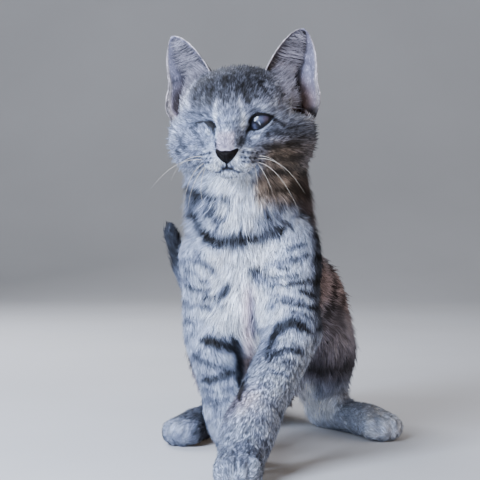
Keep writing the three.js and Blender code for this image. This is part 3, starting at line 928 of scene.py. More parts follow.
def face_tone(points):
    """Tone over the head, with painted light and shade on its two sides, and the strokes and spots of the
    face, some of them painted shade.
    """
    local = to_head(points)
    x, y, z = local.T
    # Painted light and shade: the head is a little paler on the cat's right, towards the key lamp, and the
    # cheek on its left is darker below the eye.
    tone = 0.52 + 0.27 * smooth(-1, 20, z) - 0.06 * smooth(-8, -30, x)
    tone += 0.16 * smooth(10, 30, x) * smooth(4, -4, z)
    tone += 0.06 * smooth(0, 20, y)
    aside = np.abs(x + 1.5)
    tone -= 0.14 * smooth(11, 17, aside) * smooth(-4, 6, z) * smooth(-14, -2, y)
    tone -= 0.12 * smooth(14, 22, x) * smooth(-8, 0, z) + 0.10 * bump(x, 36, 8) * smooth(-10, 0, z)
    temples = np.where(x > 0, 0.13, 0.32) * smooth(17, 23, aside)
    tone -= temples * smooth(3, 10, z) * smooth(3, -5, y)
    tone -= 0.30 * ball(local, (34, 13, 5), 7, 4)
    tone += 0.05 * smooth(22, 14, np.abs(x + 4)) * smooth(-2, 3, z) * smooth(14, 8, z)
    tone = mix(tone, 0.17, smooth(-21, -27, y) * smooth(-12, -17, z) * smooth(17, 11, np.abs(x + 0.5)))
    jaw = smooth(-25, -31, z) * smooth(-28, -16, x) * smooth(15, 6, x) * smooth(5, -8, y)
    tone = mix(tone, 0.20, jaw)
    bridge = smooth(5.6, 4.4, np.abs(x + 0.9)) * smooth(-15, -19, y) * smooth(-17, -13, z) * smooth(11, 6, z)
    tone = mix(tone, mix(0.34, 0.52, smooth(-8, -1, z)), bridge)
    front = smooth(4, -6, y)
    flat = np.stack((x, z), axis=1)
    tone = stroked(tone, flat, FACE_STROKES, front)
    for row, (height, first) in enumerate(WHISKER_SPOTS):
        for spot in range(4):
            for side in (-1, 1):
                place = np.array((side * (first + 2.0 * spot) - 0.6, height - 0.2 * spot + 0.3 * row))
                tone += 0.72 * front * ball(flat, place, 0.78 if spot < 3 else 0.6)
    lines = sum(bump(x, middle, 2.2) for middle in (-19, -10, -2, 7, 16))
    tone += 0.10 * lines * smooth(-6, 6, y) * smooth(10, 20, z) * smooth(46, 30, y)
    swirl = 0.5 + 0.5 * np.sin(z * 0.5 + 0.12 * y + 2.4)
    tone += 0.24 * smooth(0.55, 0.9, swirl) * smooth(2, 12, y) * smooth(22, 10, z)
    return tone


def body_tone(points, normals):
    """Tone over the trunk, neck and upper legs: pale below and in front, striped over the back and flanks,
    with painted shade on the side away from the key lamp.
    """
    x, y, z = points.T
    away, share = along(points, SPINE)
    back = smooth(34, 8, away) * smooth(-0.3, 0.5, normals[:, 2] + normals[:, 1])
    flank = smooth(0.15, 0.75, np.abs(normals[:, 0])) * smooth(40, 70, y)
    tone = 0.42 + 0.13 * back - 0.12 * smooth(0.2, 0.8, -normals[:, 2])
    run = share * path_length(SPINE) + 3.2 * (noise(points, 11, 21) - 0.5) + 0.16 * z
    wave = np.sin(2 * np.pi * run / BACK_STRIPE)
    broken = 0.45 + 0.75 * noise(points, 9, 22)
    stripes = 0.46 * smooth(0.15, 0.8, wave) * broken * np.maximum(flank, 0.8 * back)
    tone += stripes * smooth(46, 66, y)
    spine_line = bump(x - (14 - 0.05 * (150 - y)), 0, 4.5)
    tone += 0.34 * spine_line * smooth(24, 8, away) * smooth(40, 60, y)
    front = smooth(62, 40, y) * smooth(0.55, -0.1, normals[:, 1])
    white = 0.01 + 0.22 * smooth(12, 29, np.abs(x - 3)) + 0.10 * smooth(126, 140, z)
    white += 0.04 * smooth(8, 26, x) * smooth(80, 100, z)
    tone = mix(tone, white, front)
    ahead = smooth(52, 38, y) * smooth(0.5, 0.0, normals[:, 1])
    tone = stroked(tone, np.stack((x, z), axis=1), CHEST_STROKES, ahead, 1.05)
    side = smooth(0.45, 0.9, np.abs(normals[:, 0])) * smooth(70, 45, y)
    # Painted shade: the side that faces the cat's left, away from the key lamp, is darker.
    tone += 0.32 * smooth(0.6, 0.85, normals[:, 0]) * smooth(60, 45, y)
    bars = np.sin(z * 0.52 + 3 * noise(points, 10, 23))
    tone += 0.16 * side + 0.30 * side * smooth(0.4, 0.9, bars)
    return tone


def leg_tone(points, normals, name):
    """Tone down a foreleg, barred behind and on the outer side."""
    path = LEGS[name]
    left = "left" in name
    _, share = along(points, path)
    inner = normals[:, 0] * (-1 if left else 1)
    level, inside = (0.26, 0.16) if left else (0.33, -0.16)
    tone = level + inside * smooth(0.1, 0.7, inner) + 0.14 * smooth(0.0, 0.8, normals[:, 1])
    if left:
        tone += 0.10 * smooth(50, 38, points[:, 2]) * smooth(0.5, -0.2, inner)
        tone -= 0.04 * smooth(0.1, 0.7, -inner) * smooth(66, 54, points[:, 2])
    run = share * path_length(path) + 3 * (noise(points, 8, 31) - 0.5)
    wave = np.sin(2 * np.pi * run / LEG_STRIPE)
    behind = smooth(-0.1, 0.5, normals[:, 1]) + 0.5 * smooth(0.2, 0.7, -inner)
    tone += 0.30 * smooth(0.2, 0.8, wave) * np.clip(behind, 0, 1)
    return tone


def hind_tone(points, normals, side):
    """Tone over a haunch and hind leg, by height, with a white inner side and a white left heel, the heel's
    white partly painted light.
    """
    _, y, z = points.T
    level = z - 0.22 * (y - 92) + 5 * (noise(points, 12, 41) - 0.5)
    tone = np.interp(level, *HAUNCH_TONES)
    white = smooth(0.15, 0.6, -side * normals[:, 0]) * smooth(40, 24, z)
    # The left heel's white fur at the palest tone: partly its own colour, partly painted light where the heel
    # lies in shade.
    if side > 0:
        white = np.maximum(white, ball(points, (51, 109, 15), 9, 4))
    return mix(tone, -0.1, white)


def tail_tone(points):
    """Grey, with darker rings and a dark tip."""
    tone = 0.5
    _, share = along(points, TAIL_PATH)
    run = path_length(TAIL_PATH)
    for place, width, change in TAIL_RINGS:
        tone = tone + change * np.exp(-((np.abs(share - place) * run / width) ** 2) ** 1.5)
    return tone


def ear_tone(points, normals):
    """Inside: greyish lilac, with painted shade in the hollow, paler on the outer wall, with a pale rim.
    Behind: grey.
    """
    _, across, share, facing = ear_measures(points, normals)
    side = ear_side(points)

    def each(left, right):
        return np.where(side > 0, left, right)

    # Painted shade: the hollow deep in the cup is darkened.
    hollow = bump(across, each(0.20, 0.50), each(0.26, 0.30)) * bump(share, 0.20, 0.24)
    hollow = np.maximum(hollow, each(0.3, 0.8) * bump(across, 0.3, 0.4) * smooth(0.2, 0.0, share))
    wall = smooth(each(0.46, 0.60), each(0.62, 0.78), across)
    wall *= smooth(each(0.02, 0.22), each(0.14, 0.40), share)
    inside = each(0.90, 0.74) + 0.08 * smooth(0.35, 0.65, share) * bump(across, 0, 0.6)
    inside -= 0.20 * smooth(-0.3, -0.8, across)
    inside = mix(inside, each(0.56, 0.68), wall) + 0.5 * hollow * (1 - 0.8 * wall)
    behind = 0.52 + 0.16 * smooth(0.3, 0.9, share)
    tone = mix(behind, inside, smooth(0.0, 0.35, facing))
    edge = np.maximum(smooth(0.93, 0.975, np.abs(across)), smooth(0.965, 0.995, share))
    tone = mix(tone, 0.30, edge * smooth(0.06, 0.2, share))
    lobe = smooth(each(0.62, 0.86), each(0.76, 0.94), across) * bump(share, 0.13, 0.15)
    return mix(tone, 0.28, lobe)


def rimmed(tone, points, head):
    """Dark rims round the open eye and under the nose leather, and a pale line below the eye."""
    local = to_head(points)
    x, y, z = local.T
    gap = eye_gap(points)
    up = around_eye(local)[3]
    thick = mix(0.35, 1.45, smooth(-1.8, 0.4, up))
    tone = mix(tone, 1.04, head * smooth(thick + 0.4, thick, gap))
    pale = 0.8 * head * smooth(0.5, 0.2, np.abs(gap - 0.85))
    tone = mix(tone, 0.36, pale * smooth(-1.6, -2.4, up))
    under_nose = smooth(0.3, -0.3, np.abs(x) - np.interp(z, *NOSE_WIDTHS)) * smooth(-28, -32, y)
    return mix(tone, 1.04, head * under_nose)


def tabby(points, normals, regions, slip=0.0, lie=None):
    """The coat's colour at each point. Slip moves the markings along the hair, so their edges are ragged."""
    if lie is not None:
        points = points + lie * np.reshape(slip, (-1, 1))
    drift = np.stack([noise(points, 6, seed) - 0.5 for seed in (1, 2, 3)], axis=1) * 2.2
    shifted = points + drift
    gentle = points + 0.3 * drift
    clumps = noise(points, 3.2, 5) - 0.5
    blots = noise(points, 13, 6) - 0.5
    tone = np.zeros(len(points))
    total = np.zeros(len(points))

    def add(share, value):
        nonlocal tone, total
        tone = tone + share * value
        total = total + share

    add(regions.of("head"), face_tone(gentle))
    add(regions.of("trunk", "neck"), body_tone(shifted, normals))
    upper = smooth(66, 76, points[:, 2])
    shoulder = body_tone(gentle, normals)
    ahead = smooth(0.45, 0.0, normals[:, 1])
    for name in LEGS:
        add(regions.of(name) * upper, shoulder)
        lower = stroked(leg_tone(gentle, normals, name), gentle[:, (0, 2)], CHEST_STROKES, ahead)
        add(regions.of(name) * (1 - upper), lower)
    for side, word in SIDES:
        add(regions.of("haunch_" + word), hind_tone(shifted, normals, side))
    for name, (tip, reach, toes, grey) in HIND_TOES.items():
        instep = smooth(*reach, np.linalg.norm(points[:, :2] - tip, axis=1))
        add(regions.of(name), toes + grey * instep - 0.4 * blots)
    add(regions.of("forepaw"), 0.30 + 0.2 * smooth(10, 20, points[:, 2]))
    add(regions.of("tail"), tail_tone(points))
    add(regions.of("ear"), ear_tone(points, normals))
    tone = tone / np.maximum(total, 1e-6)
    fine = noise(points, 1.4, 8) - 0.5
    speckle = mix(0.16, 0.34, regions.of("head", "foreleg_left", "paw"))
    tone = tone + 0.22 * clumps + 0.16 * blots + speckle * fine
    return tinted(ramp(rimmed(tone, points, regions.of("head"))), points, normals, regions)


def ramp(tone):
    """The grey that stands for each tone."""
    stops = [stop for stop, _ in TONES]
    shades = np.array([linear(code) for _, code in TONES])
    return np.stack([np.interp(tone, stops, shades[:, k]) for k in range(3)], axis=1)


def tinted(colour, points, normals, regions):
    """Lays the warm and pink parts over the greys, and a painted warm shade on the cat's left side."""
    x, y, z = to_head(points).T
    bright = colour.max(axis=1, keepdims=True)

    def tint(name, share):
        nonlocal colour
        target = linear(TINTS[name])
        target = target / target.max() * mix(bright, target.max(), 0.06)
        colour = mix(colour, target, np.reshape(share, (-1, 1)))

    head = regions.of("head")
    _, across, share, facing = ear_measures(points, normals)
    inner = regions.of("ear") * smooth(0.0, 0.35, facing)
    tint("lilac", 0.6 * inner)
    tint("brown", 0.75 * inner * bump(across, 0.5, 0.4) * smooth(0.5, 0.1, share))
    tint("cream", 0.5 * regions.of("ear") * smooth(0.9, 0.96, np.abs(across)))
    nose_bridge = smooth(6, 4, np.abs(x + 0.8)) * smooth(-20, -26, y)
    nose_bridge = nose_bridge * smooth(-4, -8, z) * smooth(-19, -15, z)
    tint("lilac", 0.40 * head * nose_bridge)
    tint("pink", 0.22 * head * nose_bridge)
    slant = x - 7 - 0.6 * np.clip(z + 34, 0, 20)
    beneath = regions.of("head", "neck") * smooth(0, 5, slant) * smooth(38, 28, x) * smooth(-12, -18, z)
    tint("sand", 0.80 * beneath * smooth(-50, -40, z))
    # Warm sand on the lower cheek of the cat's left: partly its own colour, partly painted warm shade.
    tint("sand", 0.40 * head * smooth(10, 24, x) * smooth(-6, -16, z))
    tint("sand", 0.16 * head * smooth(0, 12, z))
    # Painted warm shade on the side of the neck and trunk that faces away from the key lamp.
    tint("brown", 0.45 * regions.of("neck", "trunk") * smooth(0.7, 0.92, normals[:, 0]))
    tint("brown", 0.26 * regions.of("haunch_left") * smooth(26, 40, points[:, 2]))
    tint("brown", 0.25 * regions.of("trunk", "haunch_right") * smooth(60, 90, points[:, 1]))
    belly = regions.of("trunk", "neck") * bump(points[:, 0], 4.6, 3.5) * smooth(100, 88, points[:, 2])
    tint("pink", 0.40 * belly * smooth(50, 35, points[:, 1]))
    tint("pink", 0.40 * regions.of("foreleg_left") * ball(points, WRIST, 10))
    return colour


# ---- Materials ----

def add_node(tree, kind, settings=None, **inputs):
    """Adds one node. Settings go on it, and inputs are values or sockets, by name or as i0, i1."""
    node = tree.nodes.new(kind)
    for key, value in (settings or {}).items():
        setattr(node, key, value)
    for key, value in inputs.items():
        numbered = key[0] == "i" and key[1:].isdigit()
        socket = node.inputs[int(key[1:]) if numbered else key.replace("_", " ")]
        if isinstance(value, bpy.types.NodeSocket):
            tree.links.new(value, socket)
        else:
            socket.default_value = value
    return node


def new_material(name):
    material = bpy.data.materials.new(name)
    material.use_nodes = True
    tree = material.node_tree
    shader = tree.nodes["Principled BSDF"]
    return material, tree, shader


def painted(tree, size, low, high):
    """The painted colour with fine grain laid over it, grain size in millimetres."""
    colour = add_node(tree, "ShaderNodeAttribute", {"attribute_name": "coat"})
    place = add_node(tree, "ShaderNodeTexCoord").outputs["Object"]
    grain = add_node(tree, "ShaderNodeTexNoise", Vector=place, Scale=1 / (size * MM), Detail=3.0)
    level = add_node(
        tree, "ShaderNodeMapRange", i0=grain.outputs["Fac"], i1=0.3, i2=0.7, i3=low, i4=high,
    )
    mixed = add_node(tree, "ShaderNodeVectorMath", {"operation": "SCALE"}, i0=colour.outputs["Color"])
    tree.links.new(level.outputs[0], mixed.inputs["Scale"])
    return mixed.outputs[0], grain.outputs["Fac"]


def skin_material():
    # Short under-fur lying on skin: the markings with hair-fine grain and bump.
    material, tree, shader = new_material("under_fur")
    colour, grain = painted(tree, 0.5, 0.75, 1.1)
    tree.links.new(colour, shader.inputs["Base Color"])
    shader.inputs["Roughness"].default_value = 0.85
    shader.inputs["Specular IOR Level"].default_value = 0.2
    lift = add_node(tree, "ShaderNodeBump", Height=grain, Strength=0.5, Distance=0.0003)
    tree.links.new(lift.outputs[0], shader.inputs["Normal"])
    return material


def coat_material():
    # Hair: the markings with a soft sheen.
    material, tree, shader = new_material("hair")
    colour, _ = painted(tree, 1.2, 0.9, 1.1)
    tree.links.new(colour, shader.inputs["Base Color"])
    shader.inputs["Roughness"].default_value = 0.62
    shader.inputs["Specular IOR Level"].default_value = 0.3
    return material


def eye_material():
    # Wet eyeball: a clear glossy cover over the cloudy iris.
    material, tree, shader = new_material("wet_eye")
    colour = add_node(tree, "ShaderNodeAttribute", {"attribute_name": "coat"})
    tree.links.new(colour.outputs["Color"], shader.inputs["Base Color"])
    shader.inputs["Roughness"].default_value = 0.5
    shader.inputs["IOR"].default_value = 1.38
    shader.inputs["Specular IOR Level"].default_value = 0.2
    shader.inputs["Coat Weight"].default_value = 0.3
    shader.inputs["Coat Roughness"].default_value = 0.05
    return material


def nose_material():
    # Nose leather: dark, damp and finely pebbled.
    material, tree, shader = new_material("nose_leather")
    colour, _ = painted(tree, 0.5, 0.85, 1.15)
    tree.links.new(colour, shader.inputs["Base Color"])
    place = add_node(tree, "ShaderNodeTexCoord")
    pebble = add_node(tree, "ShaderNodeTexVoronoi", Vector=place.outputs["Object"], Scale=1 / (0.45 * MM))
    lift = add_node(tree, "ShaderNodeBump", Height=pebble.outputs["Distance"], Strength=0.35, Distance=0.0001)
    tree.links.new(lift.outputs[0], shader.inputs["Normal"])
    shader.inputs["Roughness"].default_value = 0.55
    shader.inputs["Specular IOR Level"].default_value = 0.12
    return material


def whisker_material():
    # Whisker: stiff, smooth, pale horn with a soft shine.
    material, _, shader = new_material("whisker")
    shader.inputs["Base Color"].default_value = (*linear("D8D0C4"), 1)
    shader.inputs["Roughness"].default_value = 0.4
    return material


# ---- The whole skin ----

def body_form(voxel):
    """The skin without the ears' leaves: its points, their shares of the nodes, and its triangles."""
    mesh = remeshed(joined_flesh(GROWTH), voxel)
    for chosen in (near_face, near_paws, near_features, near_features):
        refine(mesh, chosen)
    net = Net(mesh)
    points = to_kitten(coords(mesh))
    labels = net.soften(node_labels(to_frame(points)), ROUNDS["shares"])
    regions = Regions(labels)
    soft = 1 - smooth(0.6, 1.0, labels.max(axis=1))
    face = smooth(0, -14, to_head(points)[:, 1]) * regions.of("head")
    points = net.even(points, ROUNDS["skin"])
    # Broad soft parts lose their facets, the joints between forms are smoothed most, and fine parts least.
    broad = np.maximum(regions.of("trunk", "neck", "haunch"), 0.4 * regions.of("foreleg", "tail"))
    points = net.calm(points, ROUNDS["broad"], (0.45 * broad)[:, None])
    joints = net.soften(soft * (1 - 0.6 * regions.of("paw")) * (1 - face), 4)
    points = net.calm(points, ROUNDS["joints"], (0.5 * joints)[:, None])
    points = net.calm(points, ROUNDS["fine"], (0.5 * regions.of("head", "paw"))[:, None])
    mesh.vertices.foreach_set("co", to_frame(points).astype(np.float32).ravel())
    mesh.update()
    normals = normals_of(mesh)
    triangles = triangles_of(mesh)
    bpy.data.meshes.remove(mesh)
    points = toe_creases(points, normals)
    points = points - normals * coat_table(points, normals, regions)[:, 1:2] * SUNK
    local = lips(closed_lids(open_lids(face_forms(to_head(points)))))
    headed = smooth(0.3, 0.8, regions.of("head"))[:, None]
    return mix(points, from_head(local), headed), labels, triangles


def with_ears(points, labels, triangles):
    """Opens the head in front of each ear and adds the ears' leaves."""
    points, opened = ear_hollows(points)
    labels = labels * (1 - opened)[:, None]
    for side, word in SIDES:
        labels[:, FLESH.index("ear_" + word)] += opened * (ear_side(points) == side)
    for side, word in SIDES:
        leaf, faces = ear_shell(side)
        triangles = np.concatenate((triangles, faces + len(points)))
        points = np.concatenate((points, leaf))
        own = np.zeros((len(leaf), len(FLESH)))
        own[:, FLESH.index("ear_" + word)] = 1
        labels = np.concatenate((labels, own))
    return points, labels, triangles


# ---- Coat pieces ----

# A tuft is a roofed blade. Shares of its half width: its height, and the half width at its middle row.
BLADE = {"ridge": 0.5, "middle": 0.85}
ROOT_SUNK = 0.3  # how far under the skin a tuft starts, in millimetres
SHADE_TILT = 0.45  # how far a tuft's sides are shaded away from the skin's way up
FINE_LOCKS, BROAD_LOCKS = 3, 7  # tufts to a lock
FACE_ENDS = -4  # how far back the face's piece reaches, in the head's millimetres
CHEST_ENDS = 78  # how far back the chest's piece reaches, in the kitten's
# A blade's faces by its seven points, and where those lie round its own place on the flat map.
BLADE_FACES = np.array([(0, 4, 1), (0, 3, 4), (1, 5, 2), (1, 4, 5), (3, 6, 4), (4, 6, 5)])
BLADE_SPOTS = np.array([(-1, -1), (0, -1), (1, -1), (-1, 0), (0, 0), (1, 0), (0, 1)]) * 0.0014

# name: words of the nodes under it, and which part of them
PIECES = {
    "coat_face": ("head", "front"), "coat_head": ("head", "back"), "coat_ears": ("ear", None),
    "coat_neck": ("neck", None), "coat_chest": ("trunk", "front"), "coat_back": ("trunk", "back"),
    "coat_foreleg_left": ("foreleg_left forepaw_left", None),
    "coat_foreleg_right": ("foreleg_right forepaw_right", None),
    "coat_haunch_left": ("haunch_left hindpaw_left", None),
    "coat_haunch_right": ("haunch_right hindpaw_right", None),
    "coat_tail": ("tail", None),
}


def triangle_piece(points, labels, triangles):
    """The coat piece that each triangle of the skin belongs to, as an index into PIECES."""
    middle = points[triangles].mean(axis=1)
    shares = labels[triangles].mean(axis=1)
    node = shares.argmax(axis=1)
    local = to_head(middle)
    result = np.zeros(len(triangles), int)
    for index, (words, part) in enumerate(PIECES.values()):
        named = [i for i, name in enumerate(FLESH) if any(word in name for word in words.split())]
        inside = np.isin(node, named)
        if words == "head":
            inside &= (local[:, 1] < FACE_ENDS) == (part == "front")
        if words == "trunk":
            inside &= (middle[:, 1] < CHEST_ENDS) == (part == "front")
        result[inside] = index
    return result


def unwrapped(name, points, triangles):
    """A flat layout of these triangles of the skin, one pair of numbers for each corner."""
    used, local = np.unique(triangles, return_inverse=True)
    patch = mesh_object(name, to_frame(points[used]), local.reshape(-1, 3))
    view = bpy.context.view_layer
    bpy.ops.object.select_all(action="DESELECT")
    patch.select_set(True)
    view.objects.active = patch
    patch.data.uv_layers.new(name="flat")
    bpy.ops.object.mode_set(mode="EDIT")
    bpy.ops.mesh.select_all(action="SELECT")
    bpy.ops.uv.smart_project(angle_limit=math.radians(60), island_margin=0.004)
    bpy.ops.object.mode_set(mode="OBJECT")
    flat = np.empty(len(triangles) * 6, np.float32)
    patch.data.uv_layers["flat"].data.foreach_get("uv", flat)
    bpy.data.objects.remove(patch)
    return flat.reshape(-1, 3, 2)


def scatter(rng, points, triangles, density):
    """Evenly spread places on the triangles: the triangle and the shares of its corners."""
    a, b, c = (points[triangles[:, k]] for k in range(3))
    area = np.linalg.norm(np.cross(b - a, c - a), axis=1) / 2
    weight = area * density[triangles].mean(axis=1)
    total = weight.sum()
    count = int(total)
    marks = (np.arange(count) + rng.random(count)) / count * total
    which = np.minimum(np.searchsorted(np.cumsum(weight), marks), len(triangles) - 1)
    u, v = rng.random(count), rng.random(count)
    over = u + v > 1
    u, v = np.where(over, 1 - u, u), np.where(over, 1 - v, v)
    return which, np.stack((1 - u - v, u, v), axis=1)


class Surface:
    """The skin as triangles that can be asked for the nearest place."""

    def __init__(self, points, normals, triangles):
        self.normals = normals
        self.triangles = triangles
        self.tree = BVHTree.FromPolygons(points.tolist(), triangles.tolist())

    def nearest(self, places):
        """The place on the skin nearest to each of these, and the skin's way up there."""
        found = [self.tree.find_nearest(place) for place in places.tolist()]
        spot = np.array([tuple(hit[0]) for hit in found])
        face = np.array([hit[2] for hit in found])
        return spot, unit(self.normals[self.triangles[face]].mean(axis=1))


def grow_tufts(surface, root, normal, lie, length, depth, fine, rng, locks):
    """Root, middle and tip of each tuft, the way up at the last two, and the leader of its lock.

    Fine tufts stray and gather less.
    """
    count = len(root)
    side = np.cross(normal, lie)
    # Neighbours bend the same way, in patches of about 5 and 16 mm, and each tuft strays a little.
    sway = (noise(root, 5.0, 11) - 0.5) * 0.7 + (noise(root, 16.0, 12) - 0.5) * 0.5
    sway = sway * (1 - 0.4 * fine) + rng.normal(0, 0.14, count)
    lie = flatten(lie * np.cos(sway)[:, None] + side * np.sin(sway)[:, None], normal)
    length = length * rng.uniform(0.75, 1.15, count)
    reach = (length * 0.5)[:, None]
    middle, middle_normal = surface.nearest(root + lie * reach)
    onward = flatten(lie, middle_normal)
    tip, tip_normal = surface.nearest(middle + onward * reach)
    # About one tuft in fourteen stands well proud.
    lift = rng.uniform(0.6, 1.15, count) + 0.8 * (rng.random(count) > 0.93)
    middle_high = middle + middle_normal * (depth * 0.6 * lift)[:, None]
    tip_high = tip + tip_normal * (depth * lift)[:, None]
    # Locks: some tufts lead, and the tips of the others are drawn towards the nearest leader's.
    leaders = rng.choice(count, max(count // locks, 1), replace=False)
    tree = KDTree(len(leaders))
    for index, leader in enumerate(leaders):
        tree.insert(root[leader], index)
    tree.balance()
    chief = leaders[np.array([tree.find(place)[1] for place in root.tolist()])]
    gather = (0.4 - 0.22 * fine)[:, None]
    tip_high = mix(tip_high, tip_high[chief], gather)
    middle_high = mix(middle_high, middle_high[chief], gather * 0.3)
    return root - normal * ROOT_SUNK, middle_high, tip_high, middle_normal, tip_normal, chief


def tuft_mesh(name, rows, normals, width, colours, places):
    """Each tuft is a narrow roofed blade: a left edge, a ridge and a right edge that meet at the tip."""
    root, middle, tip = rows
    root_normal, middle_normal, tip_normal = normals
    side_root = unit(np.cross(root_normal, middle - root))
    side_middle = unit(np.cross(middle_normal, tip - middle))
    half = (width / 2)[:, None]
    wide, narrow = side_root * half, side_middle * half * BLADE["middle"]
    points = np.stack((
        root - wide, root + root_normal * half * BLADE["ridge"], root + wide,
        middle - narrow, middle + middle_normal * half * BLADE["ridge"], middle + narrow,
        tip,
    ), axis=1)
    shading = np.stack((
        root_normal - side_root * SHADE_TILT, root_normal, root_normal + side_root * SHADE_TILT,
        middle_normal - side_middle * SHADE_TILT, middle_normal, middle_normal + side_middle * SHADE_TILT,
        tip_normal,
    ), axis=1)
    points[..., 2] = np.maximum(points[..., 2], LOWEST["tuft"])
    faces = (np.arange(len(root)) * 7)[:, None, None] + BLADE_FACES
    made = mesh_object(name, to_frame(points.reshape(-1, 3)), faces.reshape(-1, 3))
    mesh = made.data
    spots = places[:, None, :] + BLADE_SPOTS
    layer = mesh.uv_layers.new(name="OFBake")
    layer.data.foreach_set("uv", spots.reshape(-1, 2)[faces.reshape(-1)].astype(np.float32).ravel())
    paint(mesh, "coat", colours.reshape(-1, 3))
    mesh.normals_split_custom_set_from_vertices(unit(shading.reshape(-1, 3)))
    return made


def ticking(points, regions):
    """How much the hairs differ: banded ones on the crown, back and forearms, even white ones below."""
    _, y, z = to_head(points).T
    crown = smooth(2, 16, z) * smooth(6, -4, y) + smooth(-4, 10, y)
    result = regions.of("head") * (0.34 + 0.30 * np.clip(crown, 0, 1)) + 0.2 * regions.of("ear", "tail")
    result += regions.of("foreleg_left", "forepaw_left") * 0.44 * smooth(82, 56, points[:, 2])
    result += regions.of("foreleg", "forepaw") * 0.12 + regions.of("haunch", "hindpaw") * 0.17
    return result + regions.of("neck", "trunk") * (0.18 + 0.14 * smooth(50, 80, points[:, 1]))


def grow_piece(name, rng, skin):
    """Grows the tufts of one coat piece, coloured from root to tip."""
    points, normals, labels, table, lie, triangles, owner, surface = skin
    mine = triangles[owner == list(PIECES).index(name)]
    flat = unwrapped(name, points, mine)
    which, shares = scatter(rng, points, mine, table[:, 3])

    def carried(values):
        return np.einsum("nk,nkc->nc", shares, values[mine[which]])

    root = carried(points)
    normal = unit(carried(normals))
    length, depth, width, _ = carried(table).T
    direction = flatten(carried(lie), normal)
    regions = Regions(carried(labels))
    fine = np.clip(regions.of("head") + 0.8 * regions.of("foreleg_left", "paw"), 0, 1)
    locks = FINE_LOCKS if name in ("coat_face", "coat_head", "coat_foreleg_left") else BROAD_LOCKS
    rows = grow_tufts(surface, root, normal, direction, length, depth, fine, rng, locks)
    low, middle, tip, middle_normal, tip_normal, chief = rows
    ticked = ticking(root, regions)
    # Each tuft has a shade of its own and one that it shares with its lock.
    own, shared = rng.normal(0, 1, (2, len(root)))
    level = np.exp(ticked * ((0.7 + 0.3 * fine) * own + (1.2 - 0.1 * fine) * shared[chief]) - ticked ** 2)
    # About one in six is darker still, and one in eight paler.
    odd = rng.random(len(root))
    level = level * np.where(odd < 0.16, 1 - 1.6 * ticked, 1) * np.where(odd > 0.88, 1 + 0.9 * ticked, 1)
    # None stand over the open eye.
    clear = (eye_gap(middle) > 0.9) & (eye_gap(tip) > 0.9) & (eye_gap(root) > 0.6)
    slip = rng.normal(0, 0.7, len(root)) * length / 8
    start = tabby(mix(root, middle, 0.35), normal, regions, slip, direction)
    mid = tabby(middle, middle_normal, regions, slip, direction)
    end = tabby(mix(middle, tip, 0.8), tip_normal, regions, slip, direction) * 1.1
    below = start * mix(0.5, 0.8, smooth(0.2, 0.7, start.mean(axis=1)))[:, None]
    colours = np.stack((below,) * 3 + (mid,) * 3 + (end,), axis=1)
    colours = colours * np.clip(level, 0.3, 1.7)[:, None, None]
    places = np.einsum("nk,nkc->nc", shares, flat[which])
    rows = tuple(row[clear] for row in (low, middle, tip))
    turned_to = tuple(row[clear] for row in (normal, middle_normal, tip_normal))
    return tuft_mesh(name, rows, turned_to, width[clear], colours[clear], places[clear])


EAR_AHEAD = 40.0  # how far in front of the ear the skin is felt for
# The hairs over each ear: fine ones all the way up, and longer ones that rise from the foot. Start and run
# are shares of the ear's width, low, high and rise shares of its height, lift and width millimetres.
EAR_HAIRS = (
    {
        "number": 2300, "rows": 23, "low": 0.10, "high": 0.94, "start": (-0.97, 0.1), "run": (0.35, 0.85),
        "rise": (-0.015, 0.005), "lift": (0.15, 0.9), "width": 0.18,
    },
    {
        "number": 1900, "rows": 30, "low": -0.14, "high": 0.42, "start": (-1.0, -0.2), "run": (0.35, 0.75),
        "rise": (0.06, 0.24), "lift": (0.8, 2.2), "width": 0.25,
    },
)


